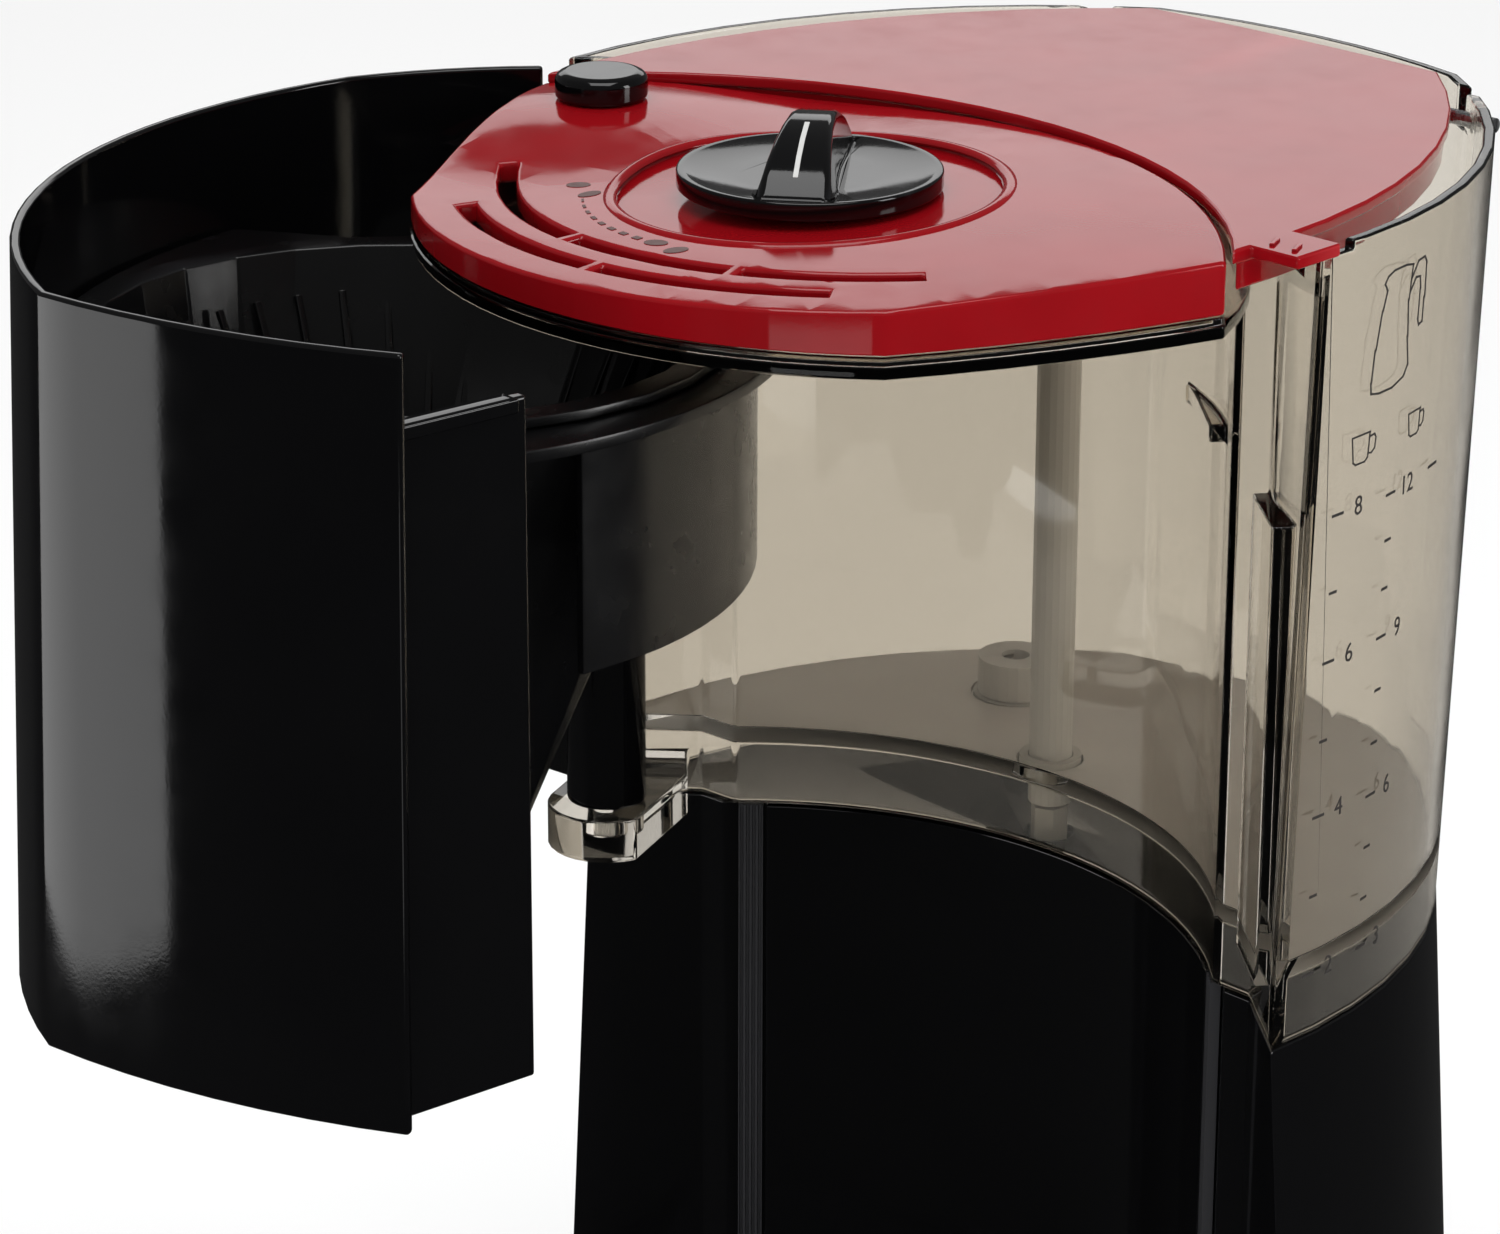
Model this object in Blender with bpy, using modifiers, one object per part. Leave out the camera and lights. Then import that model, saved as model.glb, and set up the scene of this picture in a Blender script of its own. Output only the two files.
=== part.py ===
"""Drip coffee maker with a swing-out filter housing and a translucent water tank.

Metres, +Z up. The origin is on the floor at the middle of the body, the front
faces -Y, the filter housing swings about a vertical pin near the left front.
"""

import math

import bmesh
import bpy
from mathutils import Matrix, Vector

MM = 0.001

# ---- clearances, in millimetres ----
TOUCH = 0.3
RUN = 0.05
SLIDE = 0.25
PASS = 0.8

# ---- heater and base height ----
FOOT_HEIGHT = 5.0
BASE_PLATE = 2.5
BASE_WALL = 2.5
HEATER_RADIUS = 5.5
HEATER_RING = 38.0
HEATER_LIFT = 3.5
HEADROOM = 8.0
PLATE_TOP_Z = FOOT_HEIGHT + BASE_PLATE
HEATER_Z = PLATE_TOP_Z + HEATER_LIFT + HEATER_RADIUS
BASE_TOP_Z = HEATER_Z + HEATER_RADIUS + HEADROOM

# ---- levels, from the rim down ----
RIM_Z = 345.0
HOUSING_DROP = 1.8
HOUSING_HEIGHT = 141.0
DECK_DROP = 25.0
DECK_THICK = 2.5
CANOPY_DROP = 15.0
CANOPY_PLATE = 2.5
LID_SEAT_DROP = 11.0
SKIRT_BELOW_HOUSING = 12.2
TANK_PLUG = 13.0
TANK_FLOOR = 3.0
TANK_LID_RISE = 1.0
STOP_DROP = 53.0
RAMP_DROP = 45.0
RAMP_HEIGHT = 3.5
HOUSING_TOP = RIM_Z - HOUSING_DROP
HOUSING_LOW = HOUSING_TOP - HOUSING_HEIGHT
DECK_TOP = HOUSING_TOP - DECK_DROP
CANOPY_Z = RIM_Z - CANOPY_DROP
LID_SEAT_Z = RIM_Z - LID_SEAT_DROP
TANK_SKIRT_Z = HOUSING_LOW - SKIRT_BELOW_HOUSING
TANK_FLOOR_Z = TANK_SKIRT_Z + TANK_PLUG
TANK_LID_TOP_Z = RIM_Z + TANK_LID_RISE

# ---- plan of the body ----
SIDE_HALF = 95.0
SIDE_Y = -12.0
SIDE_BULGE = 17.0
REAR_HALF = 38.0
REAR_Y = 101.5
REAR_BULGE = 5.0
ARM_HALF = 64.0
ARM_TIP_Y = 3.3
ARM_DEPTH = 15.0
ARM_SLANT = 9.0
BAY_RADIUS = 90.0
BAY_CENTRE_Y = ARM_TIP_Y - math.sqrt(BAY_RADIUS**2 - ARM_HALF**2)
BAY_BACK_Y = BAY_CENTRE_Y + BAY_RADIUS
TANK_WALL = 2.2
STOP_INSET = 2.0
STOP_REACH = 3.2
RAMP_ANGLE = 48.5
RAMP_SPAN = 16.0
RAMP_REACH = 3.2
TANK_TAPER = 4.3
TOWER_FLARE = 9.0
LIP_HEIGHT = 9.0
LIP_RADIUS = 12.0

# ---- base ----
BASE_FLARE = 9.0
BASE_HALF = SIDE_HALF + BASE_FLARE
BASE_CORNER = SIDE_HALF - 17.0
BASE_CORNER_Y = -92.0
BASE_BULGE = 27.0
BASE_FRONT_Y = BASE_CORNER_Y - BASE_BULGE
BASE_REAR_Y = REAR_Y + BASE_FLARE + REAR_BULGE
FOOT_RADIUS = 8.0
PEG_RADIUS = 2.5
SCREW_RADIUS = 1.5
SCREW_HEAD = 2.8
SCREW_LENGTH = 12.0
BOSS_RADIUS = 4.0
REST_RADIUS = 62.0
REST_HEIGHT = 2.5
REST_Y = -52.0
FRONT_BOSS = (SIDE_HALF - 15.0, REST_Y)
REAR_BOSS = (SIDE_HALF - 21.0, 52.0)
FRONT_FOOT = (BASE_CORNER - 16.0, BASE_CORNER_Y + 14.0)
REAR_FOOT = (REAR_HALF + 14.0, REAR_Y - 19.5)
GLAND_RADIUS = 5.0
GLAND_BORE = 3.2
SWITCH_HALF = 10.0
SWITCH_RISE = 5.5
SWITCH_RIM = 2.0
SWITCH_TILT = 6.0

# ---- water path ----
HOSE_RADIUS = 4.0
RISER_RADIUS = 4.5
VALVE_LENGTH = 12.0
COLD_AT = (-REAR_HALF, BAY_BACK_Y + 32.0)
RISER_AT = (-8.0, BAY_BACK_Y + 9.0)
VALVE_SEAT_RADIUS = HOSE_RADIUS + 5.0
SPRAY_Z = CANOPY_Z + CANOPY_PLATE + 0.5
SPRAY_THICK = 3.5
NOZZLE_RADIUS = 7.0

# ---- tower panel ----
PANEL_HALF_ANGLE = 41.0
PANEL_THICK = 2.6
TRIM_ANGLE = 3.2

# ---- front lid and canopy ----
LID_END = SIDE_HALF - 9.0
LID_END_Y = SIDE_Y - 15.0
LID_CORNER = SIDE_HALF - 35.0
LID_CORNER_Y = -86.0
LID_FRONT_BULGE = 22.5
LID_SIDE_BULGE = 2.0
LID_BACK_Y = 14.0
LID_WALL = 2.4
LID_TOP_WALL = 4.2
CANOPY_WALL = 2.0
SLOT_WIDTH = 3.4
SLOT_PITCH = 8.5

# ---- knob ----
KNOB_Y = -42.0
KNOB_RADIUS = 24.5
KNOB_DISC = 2.8
KNOB_BLADE_LENGTH = KNOB_RADIUS * 2 - 3.0
KNOB_BLADE_WIDTH = 12.0
KNOB_BLADE_HEIGHT = 14.0
KNOB_ANGLE = -52.0
SPINDLE_RADIUS = 4.0
DISH_RADIUS = KNOB_RADIUS + 11.5
DISH_DEPTH = 1.4

# ---- tank lid ----
TANK_LID_THICK = 2.4
TANK_LID_SKIRT = 5.5
TANK_LID_HALF = SIDE_HALF - 8.5
TANK_LID_REAR_HALF = REAR_HALF - 1.5
TANK_LID_REAR_Y = REAR_Y - 4.5
TANK_LID_BULGE = SIDE_BULGE - 1.8
LID_JOIN_GAP = 1.0
LID_HINGE_Y = REAR_Y - 12.5
LID_HINGE_Z = RIM_Z - 4.5
LID_PIN_RADIUS = 1.5
LEDGE_TOP_Z = TANK_LID_TOP_Z - TANK_LID_THICK - TANK_LID_SKIRT - TOUCH

# ---- hinge and swinging filter housing ----
HINGE_X = -ARM_HALF - 4.0
HINGE_Y = SIDE_Y - 17.0
OPEN_ANGLE = -62.0
PIN_RADIUS = 2.5
KNUCKLE_RADIUS = PIN_RADIUS + 5.5
CAP_RADIUS = KNUCKLE_RADIUS + 1.0
CAP_HEIGHT = 5.5
WEB_THICK = 3.2
FACADE_CORNER = SIDE_HALF - 19.0
FACADE_CORNER_Y = -84.0
FACADE_BULGE = 28.0
FACADE_END = SIDE_HALF - 3.7
FACADE_END_Y = SIDE_Y - 0.5
FACADE_LEFT_X = -SIDE_HALF
FACADE_LEFT_Y = -50.0
FACADE_WALL = 2.0
CARRIER_RADIUS = BAY_RADIUS - 4.0
CARRIER_WALL = 2.0
CARRIER_LEFT_X = HINGE_X + 14.0
CONE_X = 8.0
CONE_TOP_Y = -44.0
CONE_TOP_WIDE = 57.0
CONE_TOP_LONG = 61.0
CONE_LOW_Y = -56.0
CONE_LOW_WIDE = 12.0
CONE_LOW_LONG = 31.0
CONE_BOTTOM_Z = HOUSING_LOW + 11.8
SHIELD_RADIUS = CARRIER_RADIUS - 7.0
SHIELD_HEIGHT = 44.0
SHIELD_SPAN = 36.0
INSERT_WALL = 1.6
INSERT_GAP = 1.2
INSERT_LIFT = 6.0
GRIP_REACH = 28.5
GRIP_DROP = CANOPY_DROP + 0.6 - HOUSING_DROP

# ---- drip stop ----
VALVE_RADIUS = 7.0
SPOUT_WALL = 3.0
OUTLET_RADIUS = 5.0
STEM_RADIUS = 2.9
SEAL_THICK = 1.2
SEAL_BORE = OUTLET_RADIUS - 1.5
SPRING_WIRE = 0.4
SPRING_COIL = 5.4
SPRING_PITCH = 1.9
SPRING_TURNS = 3
SEAT_Z = CONE_BOTTOM_Z - 1.5

STEPS = 10


def clear_scene():
    """Remove every object that the scene starts with."""
    for obj in list(bpy.data.objects):
        bpy.data.objects.remove(obj, do_unlink=True)


def new_collection(name):
    """Return a new collection linked to the scene."""
    coll = bpy.data.collections.new(name)
    bpy.context.scene.collection.children.link(coll)
    return coll


def make_material(name, rgb, roughness, metallic=0.0, alpha=1.0):
    """Return a Principled material."""
    mat = bpy.data.materials.new(name)
    mat.use_nodes = True
    shader = mat.node_tree.nodes["Principled BSDF"]
    shader.inputs["Base Color"].default_value = (*rgb, 1.0)
    shader.inputs["Roughness"].default_value = roughness
    shader.inputs["Metallic"].default_value = metallic
    shader.inputs["Alpha"].default_value = alpha
    mat.diffuse_color = (*rgb, alpha)
    mat.roughness = roughness
    mat.metallic = metallic
    return mat


clear_scene()
PARTS = new_collection("drip_coffee_maker")
CUTTERS = new_collection("cutters")

LOOKS = {
    "red": ((0.36, 0.012, 0.02), 0.2, 0.0, 1.0),
    "black": ((0.012, 0.012, 0.013), 0.15, 0.0, 1.0),
    "dark": ((0.03, 0.03, 0.032), 0.5, 0.0, 1.0),
    "smoke": ((0.45, 0.41, 0.35), 0.08, 0.0, 0.4),
    "rubber": ((0.02, 0.02, 0.02), 0.85, 0.0, 1.0),
    "silicone": ((0.6, 0.6, 0.58), 0.6, 0.0, 1.0),
    "steel": ((0.62, 0.62, 0.64), 0.3, 1.0, 1.0),
    "aluminium": ((0.7, 0.7, 0.72), 0.4, 1.0, 1.0),
    "white": ((0.75, 0.75, 0.73), 0.5, 0.0, 1.0),
}


def add_object(name, mesh, look=None):
    """Link a mesh as a part with its own material, or as a cutter."""
    obj = bpy.data.objects.new(name, mesh)
    if look is None:
        CUTTERS.objects.link(obj)
        obj.hide_render = True
        obj.display_type = "WIRE"
        return obj
    PARTS.objects.link(obj)
    rgb, roughness, metallic, alpha = LOOKS[look]
    mesh.materials.clear()
    mesh.materials.append(make_material(name, rgb, roughness, metallic, alpha))
    mesh.shade_smooth()
    mesh.set_sharp_from_angle(angle=math.radians(32))
    return obj


# ---- outlines, in millimetres ----


def arc(start, end, bulge, count=STEPS):
    """Points from start up to, but not including, end; bulge is to the right."""
    a = Vector(start)
    b = Vector(end)
    chord = b - a
    half = chord.length / 2
    if abs(bulge) < 1e-6:
        return [tuple(a)]
    radius = (half * half + bulge * bulge) / (2 * abs(bulge))
    side = Vector((chord.y, -chord.x)).normalized() * (1 if bulge > 0 else -1)
    centre = (a + b) / 2 - side * (radius - abs(bulge))
    sweep = 2 * math.asin(min(1.0, half / radius))
    turn = sweep if bulge > 0 else -sweep
    points = []
    for i in range(count):
        angle = turn * i / count
        points.append(tuple(Matrix.Rotation(angle, 2) @ (a - centre) + centre))
    return points


def circle(x, y, radius, count=32):
    """Points of a full circle, counter-clockwise."""
    angles = [math.tau * i / count for i in range(count)]
    return [(x + radius * math.cos(t), y + radius * math.sin(t)) for t in angles]


def area(points):
    """Signed area of a closed outline."""
    total = 0.0
    for (x0, y0), (x1, y1) in zip(points, points[1:] + points[:1]):
        total += x0 * y1 - x1 * y0
    return total / 2


def inset(points, distance):
    """Move a counter-clockwise outline inward by a distance, with mitred corners."""
    moved = []
    count = len(points)
    for i in range(count):
        here = Vector(points[i])
        before = (here - Vector(points[i - 1])).normalized()
        after = (Vector(points[(i + 1) % count]) - here).normalized()
        n0 = Vector((-before.y, before.x))
        n1 = Vector((-after.y, after.x))
        mitre = n0 + n1
        mitre *= distance / max(mitre.dot(n1), 0.35)
        moved.append(tuple(here + mitre))
    return moved


def body_outline(shift=0.0):
    """Outer outline of the body: sides and back, slanted end walls, round bay."""
    right = (SIDE_HALF + shift, SIDE_Y)
    rear = (REAR_HALF + shift / 2, REAR_Y + shift)
    bay = bay_point(ARM_HALF)
    heel = (ARM_HALF + ARM_SLANT, SIDE_Y + ARM_DEPTH)
    depth = BAY_RADIUS - (bay[1] - BAY_CENTRE_Y)
    points = arc(right, rear, SIDE_BULGE)
    points += arc(rear, (-rear[0], rear[1]), REAR_BULGE, 8)
    points += arc((-rear[0], rear[1]), (-right[0], right[1]), SIDE_BULGE)
    points += [(-right[0], right[1]), (-heel[0], heel[1])]
    points += arc((-bay[0], bay[1]), bay, -depth, 24)
    points += [bay, heel]
    return points


def bay_point(x):
    """A point on the round bay wall."""
    return (x, BAY_CENTRE_Y + math.sqrt(BAY_RADIUS**2 - x * x))


def side_x(y, points):
    """The largest x at which a closed outline crosses a level of y."""
    found = []
    for (x0, y0), (x1, y1) in zip(points, points[1:] + points[:1]):
        if (y0 - y) * (y1 - y) < 0:
            found.append(x0 + (x1 - x0) * (y - y0) / (y1 - y0))
    return max(found)


def base_outline():
    """Outline of the base: a leaf shape a little wider than the body."""
    right = (BASE_HALF, SIDE_Y)
    back = (REAR_HALF + BASE_FLARE, REAR_Y + BASE_FLARE)
    corner = (BASE_CORNER, BASE_CORNER_Y)
    points = arc((-corner[0], corner[1]), corner, BASE_BULGE, 18)
    points += arc(corner, right, LID_SIDE_BULGE * 2, 6)
    points += arc(right, back, SIDE_BULGE)
    points += arc(back, (-back[0], back[1]), REAR_BULGE, 8)
    points += arc((-back[0], back[1]), (-right[0], right[1]), SIDE_BULGE)
    points += arc((-right[0], right[1]), (-corner[0], corner[1]), LID_SIDE_BULGE * 2, 6)
    return points


def leaf_outline(back_bulge_y, gap=0.0):
    """Outline of the front lid, or of the canopy under it."""
    end = (LID_END, LID_END_Y)
    corner = (LID_CORNER, LID_CORNER_Y)
    points = arc((-corner[0], corner[1]), corner, LID_FRONT_BULGE, 20)
    points += arc(corner, end, LID_SIDE_BULGE, 6)
    points += arc(end, (-end[0], end[1]), back_bulge_y - LID_END_Y, 22)
    points += arc((-end[0], end[1]), (-corner[0], corner[1]), LID_SIDE_BULGE, 6)
    return inset(points, gap) if gap else points


def facade_line(offset):
    """Open line of the housing's wall from its left end to its free end."""
    corner = (FACADE_CORNER, FACADE_CORNER_Y)
    left = (FACADE_LEFT_X, FACADE_LEFT_Y)
    end = (FACADE_END, FACADE_END_Y)
    points = arc(left, (-corner[0], corner[1]), 2.0, 6)
    points += arc((-corner[0], corner[1]), corner, FACADE_BULGE, 22)
    points += arc(corner, end, 4.0, 8)
    points.append(end)
    return offset_line(points, offset)


def offset_line(points, distance):
    """Move an open line to its left by a distance."""
    moved = []
    last = len(points) - 1
    for i, point in enumerate(points):
        here = Vector(point)
        before = (here - Vector(points[max(i - 1, 0)])) if i else None
        after = (Vector(points[min(i + 1, last)]) - here) if i < last else None
        before = (before or after).normalized()
        after = (after or before).normalized()
        n0 = Vector((-before.y, before.x))
        n1 = Vector((-after.y, after.x))
        mitre = n0 + n1
        mitre *= distance / mitre.dot(n1)
        moved.append(tuple(here + mitre))
    return moved


def strip(inner, outer):
    """Closed outline between two open lines that run side by side."""
    return outer + inner[::-1]


# ---- solids ----


def plate_mesh(name, outlines, low, high):
    """Mesh of flat outlines raised between two levels; inner outlines are holes."""
    curve = bpy.data.curves.new(name, "CURVE")
    curve.dimensions = "2D"
    curve.fill_mode = "BOTH"
    curve.extrude = (high - low) / 2 * MM
    for outline in outlines:
        spline = curve.splines.new("POLY")
        spline.points.add(len(outline) - 1)
        for point, (x, y) in zip(spline.points, outline):
            point.co = (x * MM, y * MM, 0.0, 1.0)
        spline.use_cyclic_u = True
    helper = bpy.data.objects.new(name + "_outline", curve)
    CUTTERS.objects.link(helper)
    graph = bpy.context.evaluated_depsgraph_get()
    mesh = bpy.data.meshes.new_from_object(helper.evaluated_get(graph))
    bpy.data.objects.remove(helper, do_unlink=True)
    bm = bmesh.new()
    bm.from_mesh(mesh)
    bmesh.ops.remove_doubles(bm, verts=bm.verts, dist=1e-6)
    bmesh.ops.translate(bm, verts=bm.verts, vec=(0, 0, (low + high) / 2 * MM))
    bmesh.ops.recalc_face_normals(bm, faces=bm.faces)
    bm.to_mesh(mesh)
    bm.free()
    mesh.name = name
    return mesh


def plate(name, outlines, low, high, look=None):
    """Object from plate_mesh."""
    return add_object(name, plate_mesh(name, outlines, low, high), look)


def turned(name, profile, look=None, at=(0.0, 0.0), steps=32):
    """Solid of revolution; the profile runs down the outer side, top to bottom."""
    bm = bmesh.new()
    verts = [bm.verts.new((r * MM, 0, z * MM)) for r, z in profile]
    for a, b in zip(verts, verts[1:]):
        bm.edges.new((a, b))
    if profile[0][0] > 0:
        bm.edges.new((verts[-1], verts[0]))
    mesh = bpy.data.meshes.new(name)
    bm.to_mesh(mesh)
    bm.free()
    obj = add_object(name, mesh, look)
    obj.location = (at[0] * MM, at[1] * MM, 0)
    screw = obj.modifiers.new("turn", "SCREW")
    screw.steps = steps
    screw.render_steps = steps
    screw.use_merge_vertices = True
    screw.merge_threshold = 0.00001
    screw.use_normal_calculate = False
    return obj


def disc(name, x, y, radius, low, high, look=None, steps=20):
    """Plain cylinder."""
    bm = bmesh.new()
    place = Matrix.Translation((x * MM, y * MM, (low + high) / 2 * MM))
    bmesh.ops.create_cone(
        bm, cap_ends=True, segments=steps, radius1=radius * MM, radius2=radius * MM,
        depth=(high - low) * MM, matrix=place,
    )
    mesh = bpy.data.meshes.new(name)
    bm.to_mesh(mesh)
    bm.free()
    return add_object(name, mesh, look)


def ring(name, x, y, outer, inner, low, high, look=None, steps=24):
    """Cylinder with a round hole through it."""
    profile = [(inner, high), (outer, high), (outer, low), (inner, low)]
    return turned(name, profile, look, (x, y), steps)


def box(name, low, high, look=None, bevel=0.0):
    """Box between two corners."""
    bm = bmesh.new()
    bmesh.ops.create_cube(bm, size=1.0)
    size = [(b - a) * MM for a, b in zip(low, high)]
    mid = [(b + a) / 2 * MM for a, b in zip(low, high)]
    bmesh.ops.scale(bm, vec=size, verts=bm.verts)
    bmesh.ops.translate(bm, vec=mid, verts=bm.verts)
    mesh = bpy.data.meshes.new(name)
    bm.to_mesh(mesh)
    bm.free()
    obj = add_object(name, mesh, look)
    if bevel:
        mod = obj.modifiers.new("edge", "BEVEL")
        mod.width = bevel * MM
        mod.segments = 2
    return obj


def move_origin(obj, x, y, z):
    """Put an object's origin on its joint's axis, with its shape left in place."""
    place = Vector((x, y, z)) * MM
    obj.data.transform(Matrix.Translation(-place))
    obj.location = place


def tube(name, points, radius, look, sides=3):
    """Round tube or rod along a line of points."""
    curve = bpy.data.curves.new(name, "CURVE")
    curve.dimensions = "3D"
    curve.bevel_depth = radius * MM
    curve.bevel_resolution = sides
    curve.use_fill_caps = True
    spline = curve.splines.new("POLY")
    spline.points.add(len(points) - 1)
    for point, place in zip(spline.points, points):
        point.co = (*[v * MM for v in place], 1.0)
    helper = bpy.data.objects.new(name + "_line", curve)
    CUTTERS.objects.link(helper)
    graph = bpy.context.evaluated_depsgraph_get()
    mesh = bpy.data.meshes.new_from_object(helper.evaluated_get(graph))
    bpy.data.objects.remove(helper, do_unlink=True)
    bm = bmesh.new()
    bm.from_mesh(mesh)
    bmesh.ops.remove_doubles(bm, verts=bm.verts, dist=1e-6)
    bmesh.ops.recalc_face_normals(bm, faces=bm.faces)
    bm.to_mesh(mesh)
    bm.free()
    mesh.name = name
    return add_object(name, mesh, look)


def smooth_path(stops, count=8):
    """Points of a smooth curve through the stops."""
    ends = [stops[0]] + list(stops) + [stops[-1]]
    places = []
    for i in range(len(stops) - 1):
        p0, p1, p2, p3 = [Vector(ends[i + k]) for k in range(4)]
        for j in range(count):
            t = j / count
            value = p1 * 2 + (p2 - p0) * t
            value += (p0 * 2 - p1 * 5 + p2 * 4 - p3) * t * t
            value += (p1 * 3 - p0 - p2 * 3 + p3) * t**3
            places.append(tuple(value / 2))
    places.append(tuple(stops[-1]))
    return places


def cut(obj, *cutters):
    """Cut each cutter from an object."""
    for cutter in cutters:
        mod = obj.modifiers.new("cut", "BOOLEAN")
        mod.operation = "DIFFERENCE"
        mod.object = cutter


def join(obj, *others):
    """Join helpers to an object."""
    for other in others:
        mod = obj.modifiers.new("join", "BOOLEAN")
        mod.operation = "UNION"
        mod.object = other


def loft(name, rings, look=None):
    """Closed solid through rings of equal point counts, bottom first."""
    bm = bmesh.new()
    loops = []
    for outline, z in rings:
        loops.append([bm.verts.new((x * MM, y * MM, z * MM)) for x, y in outline])
    for low, high in zip(loops, loops[1:]):
        for i in range(len(low)):
            j = (i + 1) % len(low)
            bm.faces.new((low[i], low[j], high[j], high[i]))
    bmesh.ops.triangulate(bm, faces=bm.faces[:])
    bm.faces.new(loops[0][::-1])
    bm.faces.new(loops[-1])
    bmesh.ops.recalc_face_normals(bm, faces=bm.faces)
    mesh = bpy.data.meshes.new(name)
    bm.to_mesh(mesh)
    bm.free()
    return add_object(name, mesh, look)


# ---- base ----

def build_base():
    """Base shell with its cover, feet, screws, jug rest, switch and cable gland."""
    outline = base_outline()
    shell = plate("base_shell", [outline], FOOT_HEIGHT, BASE_TOP_Z, "black")
    hollow = inset(outline, BASE_WALL)
    cavity = plate("base_cavity", [hollow], FOOT_HEIGHT - 1, BASE_TOP_Z - BASE_WALL)
    cut(shell, cavity)
    bosses = four_places(FRONT_BOSS, REAR_BOSS)
    for i, (x, y) in enumerate(bosses):
        boss = disc(f"boss_{i}", x, y, BOSS_RADIUS, PLATE_TOP_Z + TOUCH, BASE_TOP_Z - 1)
        join(shell, boss)
    for i, (x, y) in enumerate(bosses):
        top = FOOT_HEIGHT + SCREW_LENGTH + 1
        cut(shell, disc(f"boss_hole_{i}", x, y, SCREW_RADIUS + RUN, FOOT_HEIGHT, top))
    half = SWITCH_HALF + SWITCH_RIM + TOUCH
    rise = SWITCH_RISE + SWITCH_RIM + TOUCH
    slot_low = (-half, BASE_FRONT_Y - 5, HEATER_Z - rise)
    slot_high = (half, BASE_FRONT_Y + 8, HEATER_Z + rise)
    cut(shell, box("switch_slot", slot_low, slot_high))
    for name, (x, y) in (("cold", COLD_AT), ("hot", RISER_AT)):
        cut(shell, disc(f"base_{name}_way", x, y, HOSE_RADIUS + 4, HEATER_Z + 4, BASE_TOP_Z + 5))
    rear = cylinder_y("gland_way", 0, HEATER_Z, GLAND_RADIUS + TOUCH, BASE_REAR_Y - 9, 17)
    cut(shell, rear)
    inside = inset(outline, BASE_WALL + TOUCH)
    cover = plate("base_plate", [inside], FOOT_HEIGHT, PLATE_TOP_Z, "dark")
    for i, (x, y) in enumerate(bosses):
        cut(cover, disc(f"plate_hole_{i}", x, y, SCREW_RADIUS + TOUCH, 0, 20))
        build_screw(i + 1, x, y)
    for i, (x, y) in enumerate(four_places(FRONT_FOOT, REAR_FOOT)):
        cut(cover, disc(f"foot_hole_{i}", x, y, PEG_RADIUS + TOUCH, 0, 20))
        build_foot(i + 1, x, y)
    top = BASE_TOP_Z + REST_HEIGHT
    disc("jug_rest", 0, REST_Y, REST_RADIUS, BASE_TOP_Z + TOUCH, top, "dark", 40)


def four_places(front, rear):
    """A front and a rear place, each on both sides."""
    return [front, (-front[0], front[1]), rear, (-rear[0], rear[1])]


def cylinder_y(name, x, z, radius, y, length, look=None):
    """Cylinder that lies along Y from y to y + length."""
    bm = bmesh.new()
    turn = Matrix.Rotation(math.radians(-90), 4, "X")
    place = Matrix.Translation((x * MM, (y + length / 2) * MM, z * MM)) @ turn
    bmesh.ops.create_cone(
        bm, cap_ends=True, segments=24, radius1=radius * MM, radius2=radius * MM,
        depth=length * MM, matrix=place,
    )
    mesh = bpy.data.meshes.new(name)
    bm.to_mesh(mesh)
    bm.free()
    return add_object(name, mesh, look)


def build_screw(number, x, y):
    """One screw that holds the base cover to a boss."""
    top = FOOT_HEIGHT + SCREW_LENGTH
    head = FOOT_HEIGHT - TOUCH
    profile = [(0, top), (SCREW_RADIUS, top), (SCREW_RADIUS, head)]
    profile += [(SCREW_HEAD, head), (SCREW_HEAD, head - 1.5), (0, head - 1.5)]
    turned(f"base_screw_{number}", profile, "steel", (x, y), 16)


def build_foot(number, x, y):
    """One rubber foot with its peg."""
    foot = FOOT_HEIGHT - TOUCH
    profile = [(0, PLATE_TOP_Z), (PEG_RADIUS, PLATE_TOP_Z), (PEG_RADIUS, foot)]
    profile += [(FOOT_RADIUS, foot), (FOOT_RADIUS - 1, 0), (0, 0)]
    turned(f"foot_{number}", profile, "rubber", (x, y), 20)


def build_switch():
    """Rocker switch in the middle of the base's front."""
    half = SWITCH_HALF + SWITCH_RIM
    rise = SWITCH_RISE + SWITCH_RIM
    low = (-half, BASE_FRONT_Y - 1.2, HEATER_Z - rise)
    high = (half, BASE_FRONT_Y + 7, HEATER_Z + rise)
    frame = box("switch_frame", low, high, "dark")
    well_low = (-SWITCH_HALF, BASE_FRONT_Y - 4, HEATER_Z - SWITCH_RISE)
    well_high = (SWITCH_HALF, BASE_FRONT_Y + 5.5, HEATER_Z + SWITCH_RISE)
    cut(frame, box("switch_well", well_low, well_high))
    half = SWITCH_HALF - SLIDE * 2
    rise = SWITCH_RISE - PASS
    rocker_low = (-half, BASE_FRONT_Y - 1.6, HEATER_Z - rise)
    rocker_high = (half, BASE_FRONT_Y + 3.2, HEATER_Z + rise)
    rocker = box("switch_rocker", rocker_low, rocker_high, "dark", 0.8)
    move_origin(rocker, 0, BASE_FRONT_Y + 0.8, HEATER_Z)
    rocker.rotation_euler.x = math.radians(SWITCH_TILT)
    gland = cylinder_y("cable_gland", 0, HEATER_Z, GLAND_RADIUS, BASE_REAR_Y - 7, 11, "rubber")
    cut(gland, cylinder_y("gland_bore", 0, HEATER_Z, GLAND_BORE, BASE_REAR_Y - 9, 16))


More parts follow.
